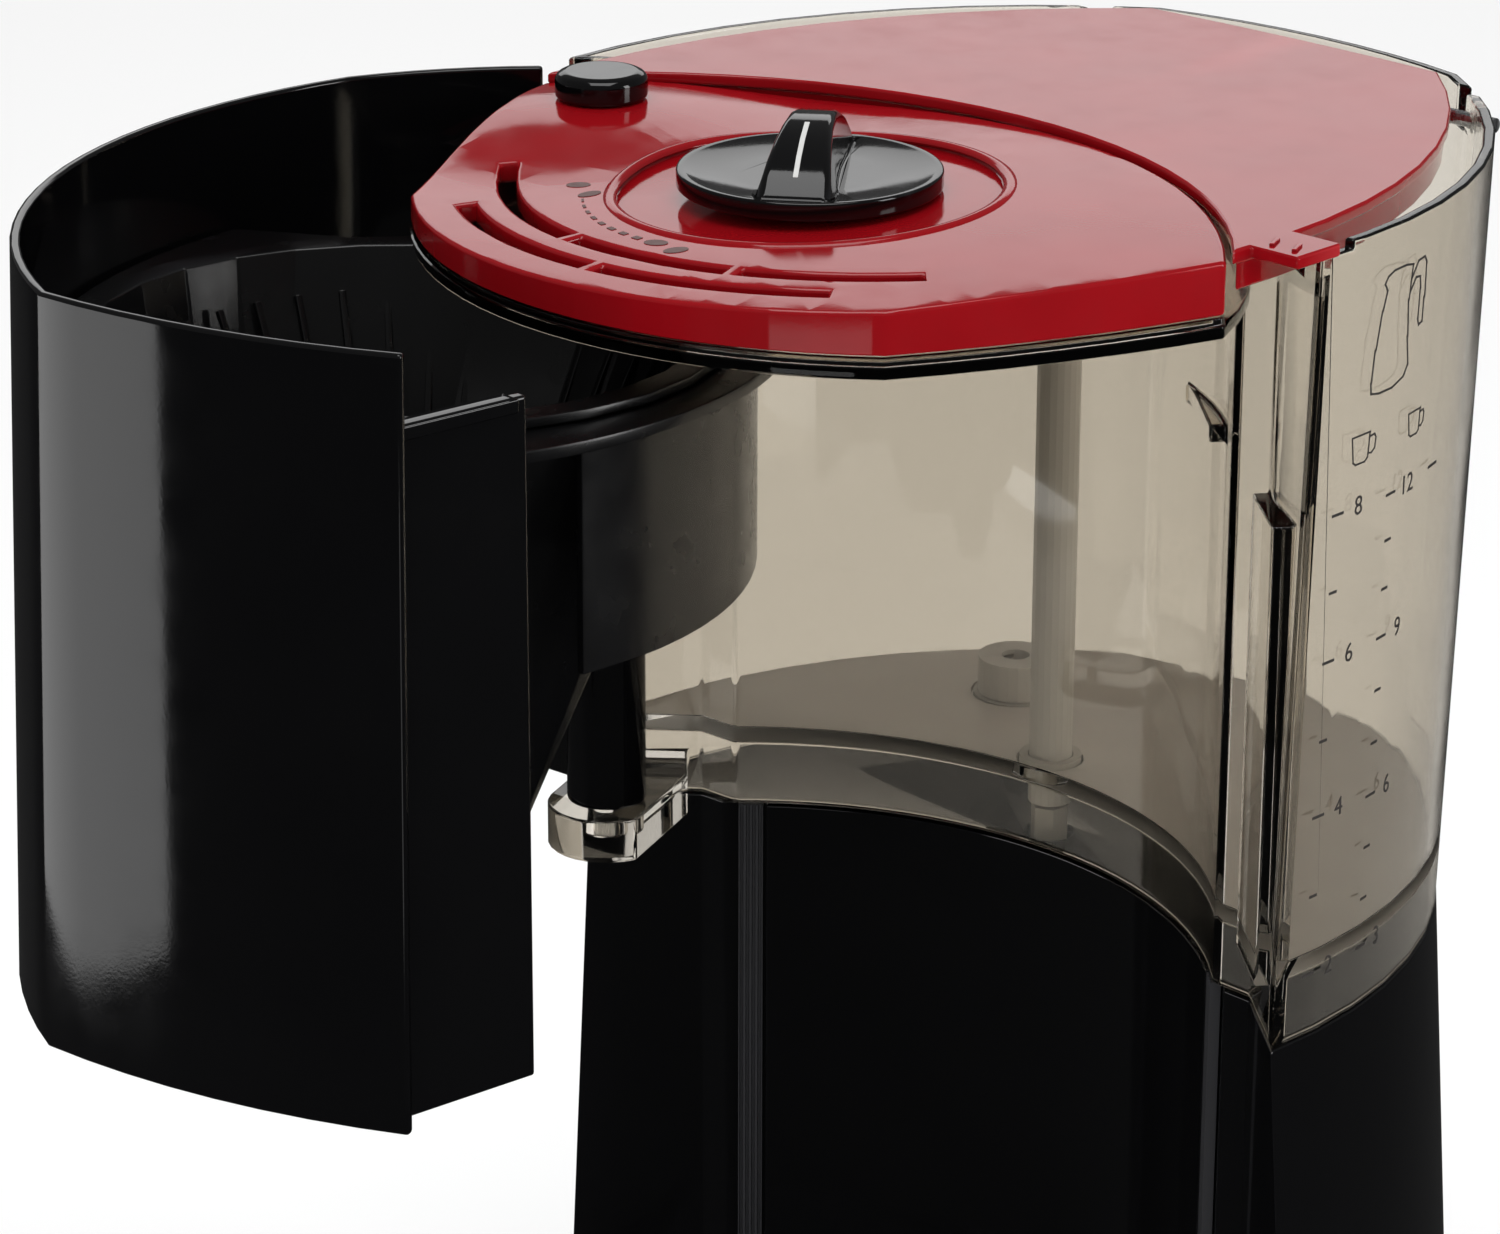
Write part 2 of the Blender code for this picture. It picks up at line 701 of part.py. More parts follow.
def build_water_path():
    """Heater, thermostat, fuse, hoses, one-way valve and terminal block."""
    start = math.radians(107)
    path = []
    for i in range(31):
        t = start + (math.tau - 2 * math.radians(17)) * i / 30
        path.append((HEATER_RING * math.cos(t), REST_Y + HEATER_RING * math.sin(t), HEATER_Z))
    tube("flow_heater", path, HEATER_RADIUS, "aluminium", 3)
    x0, y0, z0 = path[0]
    x1, y1, z1 = path[-1]
    gap = HEATER_RADIUS + TOUCH
    valve_end = y0 + gap + VALVE_LENGTH
    cylinder_y("check_valve", x0, z0, HEATER_RADIUS, y0 + gap, VALVE_LENGTH, "white")
    bend = (COLD_AT[0] + 4, COLD_AT[1] - 6, z0 + 1.5)
    cold = [(x0, valve_end + 1.0, z0), (x0 - 4, COLD_AT[1] - 34, z0 + 0.5), bend] + climb(COLD_AT)
    tube("cold_hose", smooth_path(cold, 5), HOSE_RADIUS, "silicone", 1)
    bend = (RISER_AT[0] + 3, RISER_AT[1] - 7, z1 + 1.5)
    hot = [(x1, y1 + gap + 0.5, z1), (x1 - 3, RISER_AT[1] - 27, z1), bend] + climb(RISER_AT)
    tube("hot_hose", smooth_path(hot, 5), HOSE_RADIUS, "silicone", 1)
    top = HEATER_Z + HEATER_RADIUS
    front = REST_Y - HEATER_RING
    disc("thermostat", 0, front, 5.0, top + TOUCH, top + 4.5, "steel", 20)
    box("thermal_fuse", (-44, REST_Y - 6, top + TOUCH), (-32, REST_Y + 6, top + 4), "white", 0.8)
    box("terminal_block", (22, 70, PLATE_TOP_Z + TOUCH), (44, 82, HEATER_Z + 2.5), "white", 0.6)


def climb(place):
    """Upright stretch of a hose, from the base to just under the tank."""
    top = TANK_FLOOR_Z - 7.0
    return [(*place, BASE_TOP_Z), (*place, (BASE_TOP_Z + top) / 2), (*place, top)]


# ---- tower ----

PLUG_TOP_Z = TANK_FLOOR_Z - TOUCH


def build_tower():
    """Column behind the bay, with its glossy curved panel and side trims."""
    low = BASE_TOP_Z + TOUCH
    seat = TANK_SKIRT_Z - TOUCH
    bottom = inset(body_outline(TOWER_FLARE - 1.0), 1.0)
    shoulder = body_outline(-TANK_TAPER)
    shell = loft("tower_shell", [(bottom, low), (shoulder, seat)], "black")
    plug = inset(shoulder, TANK_WALL + SLIDE)
    top = plate("tower_plug", [plug], seat - 4, PLUG_TOP_Z)
    join(shell, top)
    hollow_low = inset(bottom, BASE_WALL)
    hollow_mid = inset(shoulder, BASE_WALL)
    hollow = loft("tower_hollow", [(hollow_low, low - 1), (hollow_mid, seat - 8)])
    cut(shell, hollow)
    reach = BAY_RADIUS + PANEL_THICK - 0.6
    cut(shell, bay_ring("panel_recess", reach, BAY_RADIUS - 30.0, low - 1, PLUG_TOP_Z + 1))
    size = max(HOSE_RADIUS, RISER_RADIUS) + PASS
    for name, (x, y) in (("cold", COLD_AT), ("hot", RISER_AT)):
        cut(shell, disc(f"tower_{name}_way", x, y, size, seat - 12, PLUG_TOP_Z + 2))
    build_panel(low)


def bay_ring(name, outer, inner, low, high):
    """Ring cutter round the bay's axis."""
    return ring(name, 0, BAY_CENTRE_Y, outer, inner, low, high, steps=72)


def bay_arc(radius, start, end, count):
    """Points on a circle round the bay's centre between two angles in degrees."""
    points = []
    for i in range(count + 1):
        t = math.radians(start + (end - start) * i / count)
        points.append((radius * math.cos(t), BAY_CENTRE_Y + radius * math.sin(t)))
    return points


def build_panel(low):
    """Curved front panel and the fluted trims at its ends."""
    inner = BAY_RADIUS - 0.6
    outer = inner + PANEL_THICK - TOUCH
    high = TANK_SKIRT_Z - TOUCH
    half = PANEL_HALF_ANGLE
    panel = strip(bay_arc(inner, 90 - half, 90 + half, 30), bay_arc(outer, 90 - half, 90 + half, 30))
    plate("tower_panel", [panel], low, high, "black")
    for side, name in ((1, "right"), (-1, "left")):
        build_trim(side, name, low, high)


def build_trim(side, name, low, high):
    """Fluted strip beside the curved panel."""
    first = 90 - side * (PANEL_HALF_ANGLE + 0.4)
    last = first - side * TRIM_ANGLE
    outer = bay_arc(BAY_RADIUS + PANEL_THICK - 0.6 - TOUCH, first, last, 12)
    front = []
    for i in range(25):
        t = math.radians(first + (last - first) * i / 24)
        radius = BAY_RADIUS - 0.4 + (0.5 if i % 6 in (2, 3, 4) else 0.0)
        front.append((radius * math.cos(t), BAY_CENTRE_Y + radius * math.sin(t)))
    points = strip(front, outer)
    if area(points) < 0:
        points.reverse()
    plate(f"tower_trim_{name}", [points], low, high, "dark")


# ---- tank ----

def build_tank():
    """Open vessel with a round bay wall, a skirt over the tower and a hinge lip."""
    bottom = body_outline(-TANK_TAPER)
    rim = body_outline()
    tank = loft("water_tank", [(bottom, TANK_SKIRT_Z), (rim, RIM_Z)], "smoke")
    tab_low = (TANK_LID_HALF - 12, SIDE_Y - 4, TANK_LID_TOP_Z - TANK_LID_THICK - TOUCH)
    cut(tank, box("tab_notch", tab_low, (SIDE_HALF + 5, SIDE_Y + 9, RIM_Z + 5)))
    floor_z = TANK_FLOOR_Z + TANK_FLOOR
    floor_shift = -TANK_TAPER * (RIM_Z - floor_z) / (RIM_Z - TANK_SKIRT_Z)
    floor = inset(body_outline(floor_shift), TANK_WALL)
    above = inset(rim, TANK_WALL)
    cut(tank, loft("tank_hollow", [(floor, floor_z), (above, RIM_Z + 3)]))
    under = inset(bottom, TANK_WALL)
    cut(tank, plate("skirt_hollow", [under], TANK_SKIRT_Z - 3, TANK_FLOOR_Z))
    reach = BAY_RADIUS + TANK_WALL + SLIDE
    join(tank, plate("hinge_lip", [lip_outline()], TANK_SKIRT_Z, TANK_SKIRT_Z + LIP_HEIGHT))
    cut(tank, disc("canopy_seat", 0, BAY_CENTRE_Y, reach, CANOPY_Z - TOUCH, RIM_Z + 5, steps=72))
    leaf_seat = leaf_outline(BAY_CENTRE_Y + BAY_RADIUS + TANK_WALL, -TOUCH)
    cut(tank, plate("leaf_seat", [leaf_seat], CANOPY_Z - TOUCH, RIM_Z + 5))
    join(tank, plate("door_stop", [stop_outline()], TANK_FLOOR_Z - 1, RIM_Z - STOP_DROP))
    join(tank, catch_ramp())
    for side in (1, -1):
        radius = LID_PIN_RADIUS + RUN
        hole = cylinder_x(f"trunnion_way_{side}", LID_HINGE_Y, LID_HINGE_Z, radius, side * 40, side * 90)
        cut(tank, hole)
        near, far = sorted((side * (REAR_HALF + 5), side * (SIDE_HALF - 30)))
        relief_low = (near, LID_HINGE_Y + 2.3, LID_HINGE_Z - 3)
        relief_high = (far, LID_HINGE_Y + 6.4, RIM_Z + 5)
        cut(tank, box(f"lid_relief_{side}", relief_low, relief_high))
    cut(tank, plate("lid_bed", [tank_lid_outline(-PASS)], LEDGE_TOP_Z, RIM_Z + 6))
    cut(tank, disc("pin_way", HINGE_X, HINGE_Y, PIN_RADIUS + TOUCH, TANK_SKIRT_Z + 3, TANK_FLOOR_Z))
    ways = (("riser", RISER_AT, RISER_RADIUS + 2), ("outlet", COLD_AT, VALVE_SEAT_RADIUS))
    for name, place, radius in ways:
        cut(tank, disc(f"{name}_way", *place, radius + TOUCH, TANK_FLOOR_Z - 2, TANK_FLOOR_Z + 5))
    build_tank_fittings()


def stop_outline():
    """Box on the right end wall that the housing's grip stops against."""
    heel = Vector((ARM_HALF + ARM_SLANT, SIDE_Y + ARM_DEPTH))
    ahead = Vector((SIDE_HALF - TANK_TAPER, SIDE_Y)) - heel
    length = ahead.length
    ahead.normalize()
    out = Vector((ahead.y, -ahead.x))
    near, far = ahead * STOP_INSET, ahead * (length - STOP_INSET)
    corners = [near + out * STOP_REACH, far + out * STOP_REACH, far - out * 1.6, near - out * 1.6]
    points = [tuple(heel + corner) for corner in corners]
    return points if area(points) > 0 else points[::-1]


def catch_ramp():
    """Ramp on the round bay wall, near its right end, that the filter's edge runs onto."""
    back = bay_arc(BAY_RADIUS + 1.0, RAMP_ANGLE, RAMP_ANGLE + RAMP_SPAN, 8)
    front = []
    for i in range(9):
        rise = math.sin(math.pi / 2 * (1 - i / 8))
        t = math.radians(RAMP_ANGLE + RAMP_SPAN * i / 8)
        radius = BAY_RADIUS - 0.2 - RAMP_REACH * rise
        front.append((radius * math.cos(t), BAY_CENTRE_Y + radius * math.sin(t)))
    points = front + back[::-1]
    top = RIM_Z - RAMP_DROP
    return plate("catch_ramp", [points if area(points) > 0 else points[::-1]], top - RAMP_HEIGHT, top)


def cylinder_x(name, y, z, radius, start, end, look=None, sides=16):
    """Cylinder that lies along X between start and end."""
    bm = bmesh.new()
    turn = Matrix.Rotation(math.radians(90), 4, "Y")
    place = Matrix.Translation(((start + end) / 2 * MM, y * MM, z * MM)) @ turn
    bmesh.ops.create_cone(
        bm, cap_ends=True, segments=sides, radius1=radius * MM, radius2=radius * MM,
        depth=abs(end - start) * MM, matrix=place,
    )
    mesh = bpy.data.meshes.new(name)
    bm.to_mesh(mesh)
    bm.free()
    return add_object(name, mesh, look)


def lip_outline():
    """Shelf at the tank's left arm that carries the hinge pin."""
    around = []
    for i in range(13):
        t = math.radians(195 + 150 * i / 12)
        around.append((HINGE_X + LIP_RADIUS * math.cos(t), HINGE_Y + LIP_RADIUS * math.sin(t)))
    inner = [(-ARM_HALF - 2, SIDE_Y + 4), (-ARM_HALF - 12, SIDE_Y + ARM_DEPTH - 1.2)]
    return [(-SIDE_HALF + 6, SIDE_Y + 3.2)] + around + inner


def build_tank_fittings():
    """Strainer, outlet seal, riser tube and its grommet."""
    x, y = COLD_AT
    low = TANK_FLOOR_Z
    high = TANK_FLOOR_Z + TANK_FLOOR
    seat = VALVE_SEAT_RADIUS
    ring("outlet_seal", x, y, seat, HOSE_RADIUS + TOUCH, low, high, "silicone", 24)
    strainer = ring("tank_strainer", x, y, seat - 1, 3.0, high + TOUCH, high + 8, "white", 24)
    for i in range(3):
        level = high + 2.5 + i * 1.8
        cut(strainer, box(f"strainer_slit_{i}", (x - 12, y - 2, level), (x + 12, y + 2, level + 0.9)))
    x, y = RISER_AT
    bore = RISER_RADIUS + TOUCH
    ring("riser_grommet", x, y, RISER_RADIUS + 2, bore, low, high + 1, "silicone", 24)
    ring("riser_tube", x, y, RISER_RADIUS, RISER_RADIUS - 1.5, low - 6, SPRAY_Z - TOUCH, "white", 20)


# ---- canopy, front lid, knob ----

def build_canopy():
    """Translucent ceiling of the bay with the wall that carries the front lid."""
    back = BAY_CENTRE_Y + BAY_RADIUS + TANK_WALL
    outer = leaf_outline(back)
    canopy = plate("bay_canopy", [outer], CANOPY_Z, CANOPY_Z + CANOPY_PLATE, "smoke")
    upstand = leaf_outline(LID_BACK_Y, CANOPY_WALL * 0.1)
    inner = inset(upstand, CANOPY_WALL)
    wall = plate("canopy_wall", [upstand, inner], CANOPY_Z + 1, LID_SEAT_Z)
    join(canopy, wall)
    hinge_hole = disc("canopy_pin_way", HINGE_X, HINGE_Y, PIN_RADIUS + TOUCH, CANOPY_Z - 5, RIM_Z)
    cut(canopy, hinge_hole)
    cut(canopy, disc("shower_way", 0, KNOB_Y, NOZZLE_RADIUS + 2, CANOPY_Z - 5, CANOPY_Z + 5))
    cut(canopy, spray_way("spray_way", SPRAY_Z - PASS, LID_SEAT_Z + 2))
    spray = plate("spray_arm", [spray_outline()], SPRAY_Z, SPRAY_Z + SPRAY_THICK, "white")
    join(spray, disc("spray_nozzle", 0, KNOB_Y, NOZZLE_RADIUS, CANOPY_Z - 1, SPRAY_Z + 1))


def spray_way(name, low, high):
    """Cutter that lets the spray arm through the wall behind the filter."""
    x = RISER_AT[0]
    return box(name, (x - 8, LID_BACK_Y - 10, low), (x + 18, LID_BACK_Y + 6, high))


def spray_outline():
    """Water channel from the riser to the middle of the filter."""
    x, y = RISER_AT
    reach = RISER_RADIUS + 1.5
    turns = [math.pi * i / 10 for i in range(11)]
    around = [(x + reach * math.cos(t), y + reach * math.sin(t)) for t in turns]
    half = NOZZLE_RADIUS
    return around + [(-half, KNOB_Y + 8), (-half, KNOB_Y - 7), (half, KNOB_Y - 7), (half, KNOB_Y + 8)]


def slot_outlines():
    """Two rows of curved steam slots along the lid's front edge."""
    half = LID_CORNER
    radius = (half * half + LID_FRONT_BULGE**2) / (2 * LID_FRONT_BULGE)
    centre_y = LID_CORNER_Y - LID_FRONT_BULGE + radius
    slots = []
    for row, spans in enumerate((((-34, 0), (2, 34)), ((-50, -12), (-10, 18), (20, 46)))):
        outer = radius - SLOT_PITCH * (row + 1) + 0.8
        for first, last in spans:
            edge = slot_arc(outer, centre_y, first, last)
            inner = slot_arc(outer - SLOT_WIDTH, centre_y, first, last)
            slots.append(edge + inner[::-1])
    return slots


def slot_arc(radius, centre_y, first, last):
    """Points of one edge of a slot; angles are from straight ahead, in degrees."""
    points = []
    for i in range(11):
        t = math.radians(first + (last - first) * i / 10)
        points.append((radius * math.sin(t), centre_y - radius * math.cos(t)))
    return points


def build_front_lid():
    """Red front lid with steam slots, and the cap over the hinge pin."""
    outline = leaf_outline(LID_BACK_Y)
    lid = plate("front_lid", [outline], LID_SEAT_Z + TOUCH, RIM_Z, "red")
    cut(lid, plate("steam_slots", slot_outlines(), LID_SEAT_Z, RIM_Z + 2))
    hollow = inset(outline, LID_WALL)
    cut(lid, plate("lid_hollow", [hollow], LID_SEAT_Z - 1, RIM_Z - LID_TOP_WALL))
    cut(lid, disc("knob_dish", 0, KNOB_Y, DISH_RADIUS, RIM_Z - DISH_DEPTH, RIM_Z + 2, steps=48))
    cut(lid, disc("spindle_way", 0, KNOB_Y, SPINDLE_RADIUS + RUN * 2, LID_SEAT_Z, RIM_Z + 2))
    cut(lid, disc("lid_pin_way", HINGE_X, HINGE_Y, PIN_RADIUS + TOUCH, LID_SEAT_Z - 1, RIM_Z + 2))
    cut(lid, spray_way("lid_spray_way", LID_SEAT_Z - 2, SPRAY_Z + SPRAY_THICK + 2.7))
    top = RIM_Z + CAP_HEIGHT
    profile = [(0, top), (CAP_RADIUS - 1.5, top), (CAP_RADIUS, top - 1), (CAP_RADIUS, RIM_Z + TOUCH)]
    profile += [(PIN_RADIUS + TOUCH, RIM_Z + TOUCH), (PIN_RADIUS + TOUCH, top - 2.2), (0, top - 2.2)]
    turned("hinge_cap", profile, "black", (HINGE_X, HINGE_Y), 32)
    low = TANK_SKIRT_Z + 3 + TOUCH
    disc("hinge_pin", HINGE_X, HINGE_Y, PIN_RADIUS, low, top - 2.2 - TOUCH, "steel", 24)


def build_knob():
    """Selector knob, its spindle and the plate that it turns."""
    low = RIM_Z - DISH_DEPTH + TOUCH
    top = low + KNOB_DISC
    rim = KNOB_RADIUS - 0.8
    profile = [(0, top), (rim, top), (KNOB_RADIUS, top - 0.8), (KNOB_RADIUS, low), (0, low)]
    knob = turned("selector_knob", profile, "black", (0, KNOB_Y), 48)
    half = KNOB_BLADE_LENGTH / 2
    side = []
    for i in range(13):
        t = math.pi * i / 12
        side.append((half * math.cos(t), KNOB_BLADE_HEIGHT * math.sin(t) ** 0.8))
    blade = blade_mesh(side, top - 1.0)
    join(knob, blade)
    foot = RIM_Z - LID_TOP_WALL - 3.0
    spindle = disc("knob_spindle", 0, KNOB_Y, SPINDLE_RADIUS, foot, low - TOUCH, "white", 24)
    move_origin(spindle, 0, KNOB_Y, RIM_Z)


def blade_mesh(side, level):
    """Arched grip across the knob, turned to its mark."""
    width = KNOB_BLADE_WIDTH / 2
    bm = bmesh.new()
    faces = []
    for y in (-width, width):
        loop = [bm.verts.new((x * MM, y * MM, (level + z) * MM)) for x, z in side]
        faces.append(bm.faces.new(loop))
    bmesh.ops.bridge_loops(bm, edges=[e for f in faces for e in f.edges])
    bmesh.ops.recalc_face_normals(bm, faces=bm.faces)
    turn = Matrix.Rotation(math.radians(KNOB_ANGLE), 4, "Z")
    place = Matrix.Translation((0, KNOB_Y * MM, 0)) @ turn
    bmesh.ops.transform(bm, matrix=place, verts=bm.verts)
    mesh = bpy.data.meshes.new("knob_blade")
    bm.to_mesh(mesh)
    bm.free()
    return add_object("knob_blade", mesh)


# ---- tank lid ----


def tank_lid_outline(gap=0.0):
    """Outline of the tank lid behind the front lid."""
    half = LID_END
    sag = LID_BACK_Y - LID_END_Y
    radius = (half * half + sag * sag) / (2 * sag)
    centre_y = LID_BACK_Y - radius
    radius += LID_JOIN_GAP
    corner = (TANK_LID_HALF, centre_y + math.sqrt(radius**2 - TANK_LID_HALF**2))
    rear = (TANK_LID_REAR_HALF, TANK_LID_REAR_Y)
    points = arc(corner, rear, TANK_LID_BULGE)
    points += arc(rear, (-rear[0], rear[1]), 1.0, 6)
    points += arc((-rear[0], rear[1]), (-corner[0], corner[1]), TANK_LID_BULGE)
    depth = centre_y + radius - corner[1]
    points += arc((-corner[0], corner[1]), corner, -depth, 22)
    return inset(points, gap) if gap else points


def build_tank_lid():
    """Red tank lid with rear trunnions and a finger tab at its front right."""
    level = TANK_LID_TOP_Z - TANK_LID_THICK
    lid = plate("tank_lid", [tank_lid_outline()], level, TANK_LID_TOP_Z, "red")
    skirt = tank_lid_outline(1.0)
    wall = plate("lid_skirt", [skirt, inset(skirt, 1.8)], level - TANK_LID_SKIRT, level + 1)
    join(lid, wall)
    tab_low = (TANK_LID_HALF - 3, SIDE_Y - 9, level)
    join(lid, box("lid_tab", tab_low, (SIDE_HALF + 2, SIDE_Y + 3, TANK_LID_TOP_Z)))
    wall_x = side_x(LID_HINGE_Y, body_outline())
    y, z = LID_HINGE_Y, LID_HINGE_Z
    move_origin(lid, 0, y, z)
    for side, name in ((1, "right"), (-1, "left")):
        lug_x = sorted((side * (wall_x - 20), side * (wall_x - 16)))
        lug = box(f"lid_lug_{name}", (lug_x[0], y - 4, z - 3.5), (lug_x[1], y + 4, level + 1))
        join(lid, lug)
        bore = LID_PIN_RADIUS + TOUCH
        cut(lid, cylinder_x(f"lug_bore_{name}", y, z, bore, side * (wall_x - 23), side * (wall_x + 13)))
        ends = (side * (wall_x - 22), side * (wall_x + 3))
        pin = cylinder_x(f"lid_pin_{name}", y, z, LID_PIN_RADIUS, *ends, "steel", 16)
        move_origin(pin, 0, y, z)


# ---- swinging filter housing ----

def make_swing():
    """Empty on the hinge axis, turned to the open position."""
    empty = bpy.data.objects.new("swing_axis", None)
    PARTS.objects.link(empty)
    empty.location = (HINGE_X * MM, HINGE_Y * MM, 0)
    empty.rotation_euler = (0, 0, math.radians(OPEN_ANGLE))
    return empty


def hang(empty, names):
    """Parent the new objects to the empty; their own places are the shut ones."""
    back = Matrix.Translation((-HINGE_X * MM, -HINGE_Y * MM, 0))
    for name in names:
        obj = bpy.data.objects[name]
        obj.parent = empty
        obj.matrix_parent_inverse = back


def carrier_outline(shift=0.0):
    """Deck between the housing's wall and the bay, cut short beside the hinge."""
    gap = FACADE_WALL + TOUCH + shift
    inner = facade_line(gap)
    left = CARRIER_LEFT_X + shift
    front = [p for p in inner if p[0] > left and p[1] < SIDE_Y - 22]
    radius = CARRIER_RADIUS - shift
    end = 180 - math.degrees(math.acos(-left / radius))
    back = bay_arc(radius, 0, end, 40)
    reach = side_x(SIDE_Y - 20, inner)
    back = [p for p in back if p[1] > SIDE_Y - 18.5 and p[0] < reach]
    return front + back


def build_housing():
    """The wall, deck, cone, shield, insert, grip and drip-stop that swing together."""
    before = set(bpy.data.objects.keys())
    swing = make_swing()
    wall = strip(facade_line(FACADE_WALL), facade_line(0.0))
    plate("filter_housing", [wall], HOUSING_LOW, HOUSING_TOP, "black")
    build_grip()
    build_carrier()
    build_insert()
    build_drip_stop()
    new = [n for n in bpy.data.objects.keys() if n not in before and n != swing.name]
    hang(swing, new)


def build_grip():
    """Finger grip: a slanted wall that turns in from the free end."""
    top = HOUSING_TOP - GRIP_DROP
    start = (FACADE_END - FACADE_WALL - TOUCH, FACADE_END_Y - 3.0)
    turn = math.atan2(ARM_DEPTH, -(SIDE_HALF - ARM_HALF - ARM_SLANT))
    end = (start[0] + GRIP_REACH * math.cos(turn), start[1] + GRIP_REACH * math.sin(turn))
    back = (end[0] - 1.5, end[1] - 2.0)
    heel = (start[0] - 0.6, start[1] - 4.0)
    plate("grip_wall", [[heel, start, end, back]], HOUSING_LOW, top, "black")


def cone_ring(rise, inward, count=28):
    """Ring of the filter cone; rise is 0 at its bottom and 1 at its top."""
    wide = CONE_LOW_WIDE + (CONE_TOP_WIDE - CONE_LOW_WIDE) * rise - inward
    long = CONE_LOW_LONG + (CONE_TOP_LONG - CONE_LOW_LONG) * rise - inward
    middle = CONE_LOW_Y + (CONE_TOP_Y - CONE_LOW_Y) * rise
    angles = [math.tau * i / count for i in range(count)]
    return [(CONE_X + wide * math.cos(t), middle + long * math.sin(t)) for t in angles]


def build_carrier():
    """Deck with the outer cone, the rear shield and the outlet spout."""
    low = DECK_TOP - DECK_THICK
    carrier = plate("filter_carrier", [carrier_outline()], low, DECK_TOP, "black")
    body = loft("cone_body", [(cone_ring(0, 0), CONE_BOTTOM_Z), (cone_ring(1, 0), low + 1)])
    join(carrier, body)
    x, y = CONE_X, CONE_LOW_Y
    spout_low = CONE_BOTTOM_Z - 9
    spout = disc("cone_spout", x, y, VALVE_RADIUS + SPOUT_WALL, spout_low, CONE_BOTTOM_Z + 2)
    join(carrier, spout)
    first = 90 - SHIELD_SPAN
    last = 90 + SHIELD_SPAN - 6
    inner = bay_arc(SHIELD_RADIUS - 2, first, last, 14)
    shield = strip(inner, bay_arc(SHIELD_RADIUS, first, last, 14))
    join(carrier, plate("rear_shield", [shield[::-1]], low - SHIELD_HEIGHT, low + 1))
    floor = (cone_ring(0, CARRIER_WALL), CONE_BOTTOM_Z + 2)
    cut(carrier, loft("cone_hollow", [floor, (cone_ring(1, CARRIER_WALL), DECK_TOP + 1)]))
    cut(carrier, disc("spout_bore", x, y, VALVE_RADIUS + SLIDE, spout_low - 1, SEAT_Z))
    cut(carrier, disc("spout_throat", x, y, OUTLET_RADIUS, SEAT_Z - 2, CONE_BOTTOM_Z + 4))
    build_knuckle()


def build_knuckle():
    """Sleeve on the hinge pin with the web that carries the housing."""
    low = TANK_SKIRT_Z + LIP_HEIGHT + PASS
    high = CANOPY_Z - PASS
    x, y = HINGE_X, HINGE_Y
    knuckle = disc("hinge_knuckle", x, y, KNUCKLE_RADIUS, low, high, "black", 32)
    web_low = max(low, HOUSING_LOW)
    inner = facade_line(FACADE_WALL + 1.2)
    near = Vector(min(inner, key=lambda p: abs(p[0] - x + 18) + abs(p[1] - y + 36)))
    root = Vector((x, y))
    aim = near - root
    across = Vector((-aim.y, aim.x)).normalized() * (WEB_THICK / 2)
    web = [tuple(p) for p in (root - across, near - across, near + across, root + across)]
    if area(web) < 0:
        web.reverse()
    join(knuckle, plate("knuckle_web", [web], web_low, high))
    cut(knuckle, disc("knuckle_bore", x, y, PIN_RADIUS + RUN, low - 2, high + 2, steps=24))


def build_insert():
    """Ribbed filter insert that hangs in the cone."""
    top = DECK_TOP + TOUCH
    gap = CARRIER_WALL + INSERT_GAP
    low = CONE_BOTTOM_Z + INSERT_LIFT
    rise = (low - CONE_BOTTOM_Z) / (DECK_TOP - CONE_BOTTOM_Z)
    shape = [(cone_ring(rise, gap), low), (cone_ring(1, gap), top + 0.5)]
    insert = loft("filter_insert", shape, "dark")
    join(insert, plate("insert_flange", [cone_ring(1, gap - 4)], top, top + 2))
    inner = gap + INSERT_WALL
    hollow = [(cone_ring(rise, inner), low + INSERT_WALL), (cone_ring(1, inner), top + 2.6)]
    cut(insert, loft("insert_hollow", hollow))
    cut(insert, disc("insert_drain", CONE_X, CONE_LOW_Y, 4.0, low - 2, low + 4))


def build_drip_stop():
    """Sprung valve under the cone, with its spring and seal."""
    x, y = CONE_X, CONE_LOW_Y
    seat = SEAT_Z - TOUCH
    ring("drip_seal", x, y, VALVE_RADIUS, SEAL_BORE, seat - SEAL_THICK, seat, "silicone", 24)
    coil = []
    for i in range(SPRING_TURNS * 10 + 1):
        t = math.tau * i / 10
        level = seat - SEAL_THICK - TOUCH - SPRING_WIRE - SPRING_PITCH * i / 10
        coil.append((x + SPRING_COIL * math.cos(t), y + SPRING_COIL * math.sin(t), level))
    tube("drip_spring", coil, SPRING_WIRE, "steel", 1)
    top = coil[-1][2] - SPRING_WIRE - TOUCH
    low = top - 5.0
    head = seat + TOUCH
    head_radius = (SEAL_BORE + OUTLET_RADIUS) / 2
    profile = [(0, head + 1.5), (head_radius, head + 1.5), (head_radius, head), (STEM_RADIUS, head)]
    profile += [(STEM_RADIUS, top), (VALVE_RADIUS, top), (VALVE_RADIUS, low + 1)]
    profile += [(VALVE_RADIUS - 1, low), (0, low)]
    turned("drip_valve", profile, "dark", (x, y), 24)


def main():
    """Build every part."""
    build_base()
    build_switch()
    build_water_path()
    build_tower()
    build_tank()
    build_canopy()
    build_front_lid()
    build_knob()
    build_tank_lid()
    build_housing()


main()
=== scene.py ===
"""Looks of a drip coffee maker: red lids, black filter housing, smoke-tinted tank."""

import logging
import math
from abc import ABC, abstractmethod
from collections.abc import Callable, Iterable, Mapping, Sequence
from dataclasses import dataclass, field
from enum import Enum

import bpy
from mathutils import Matrix, Vector


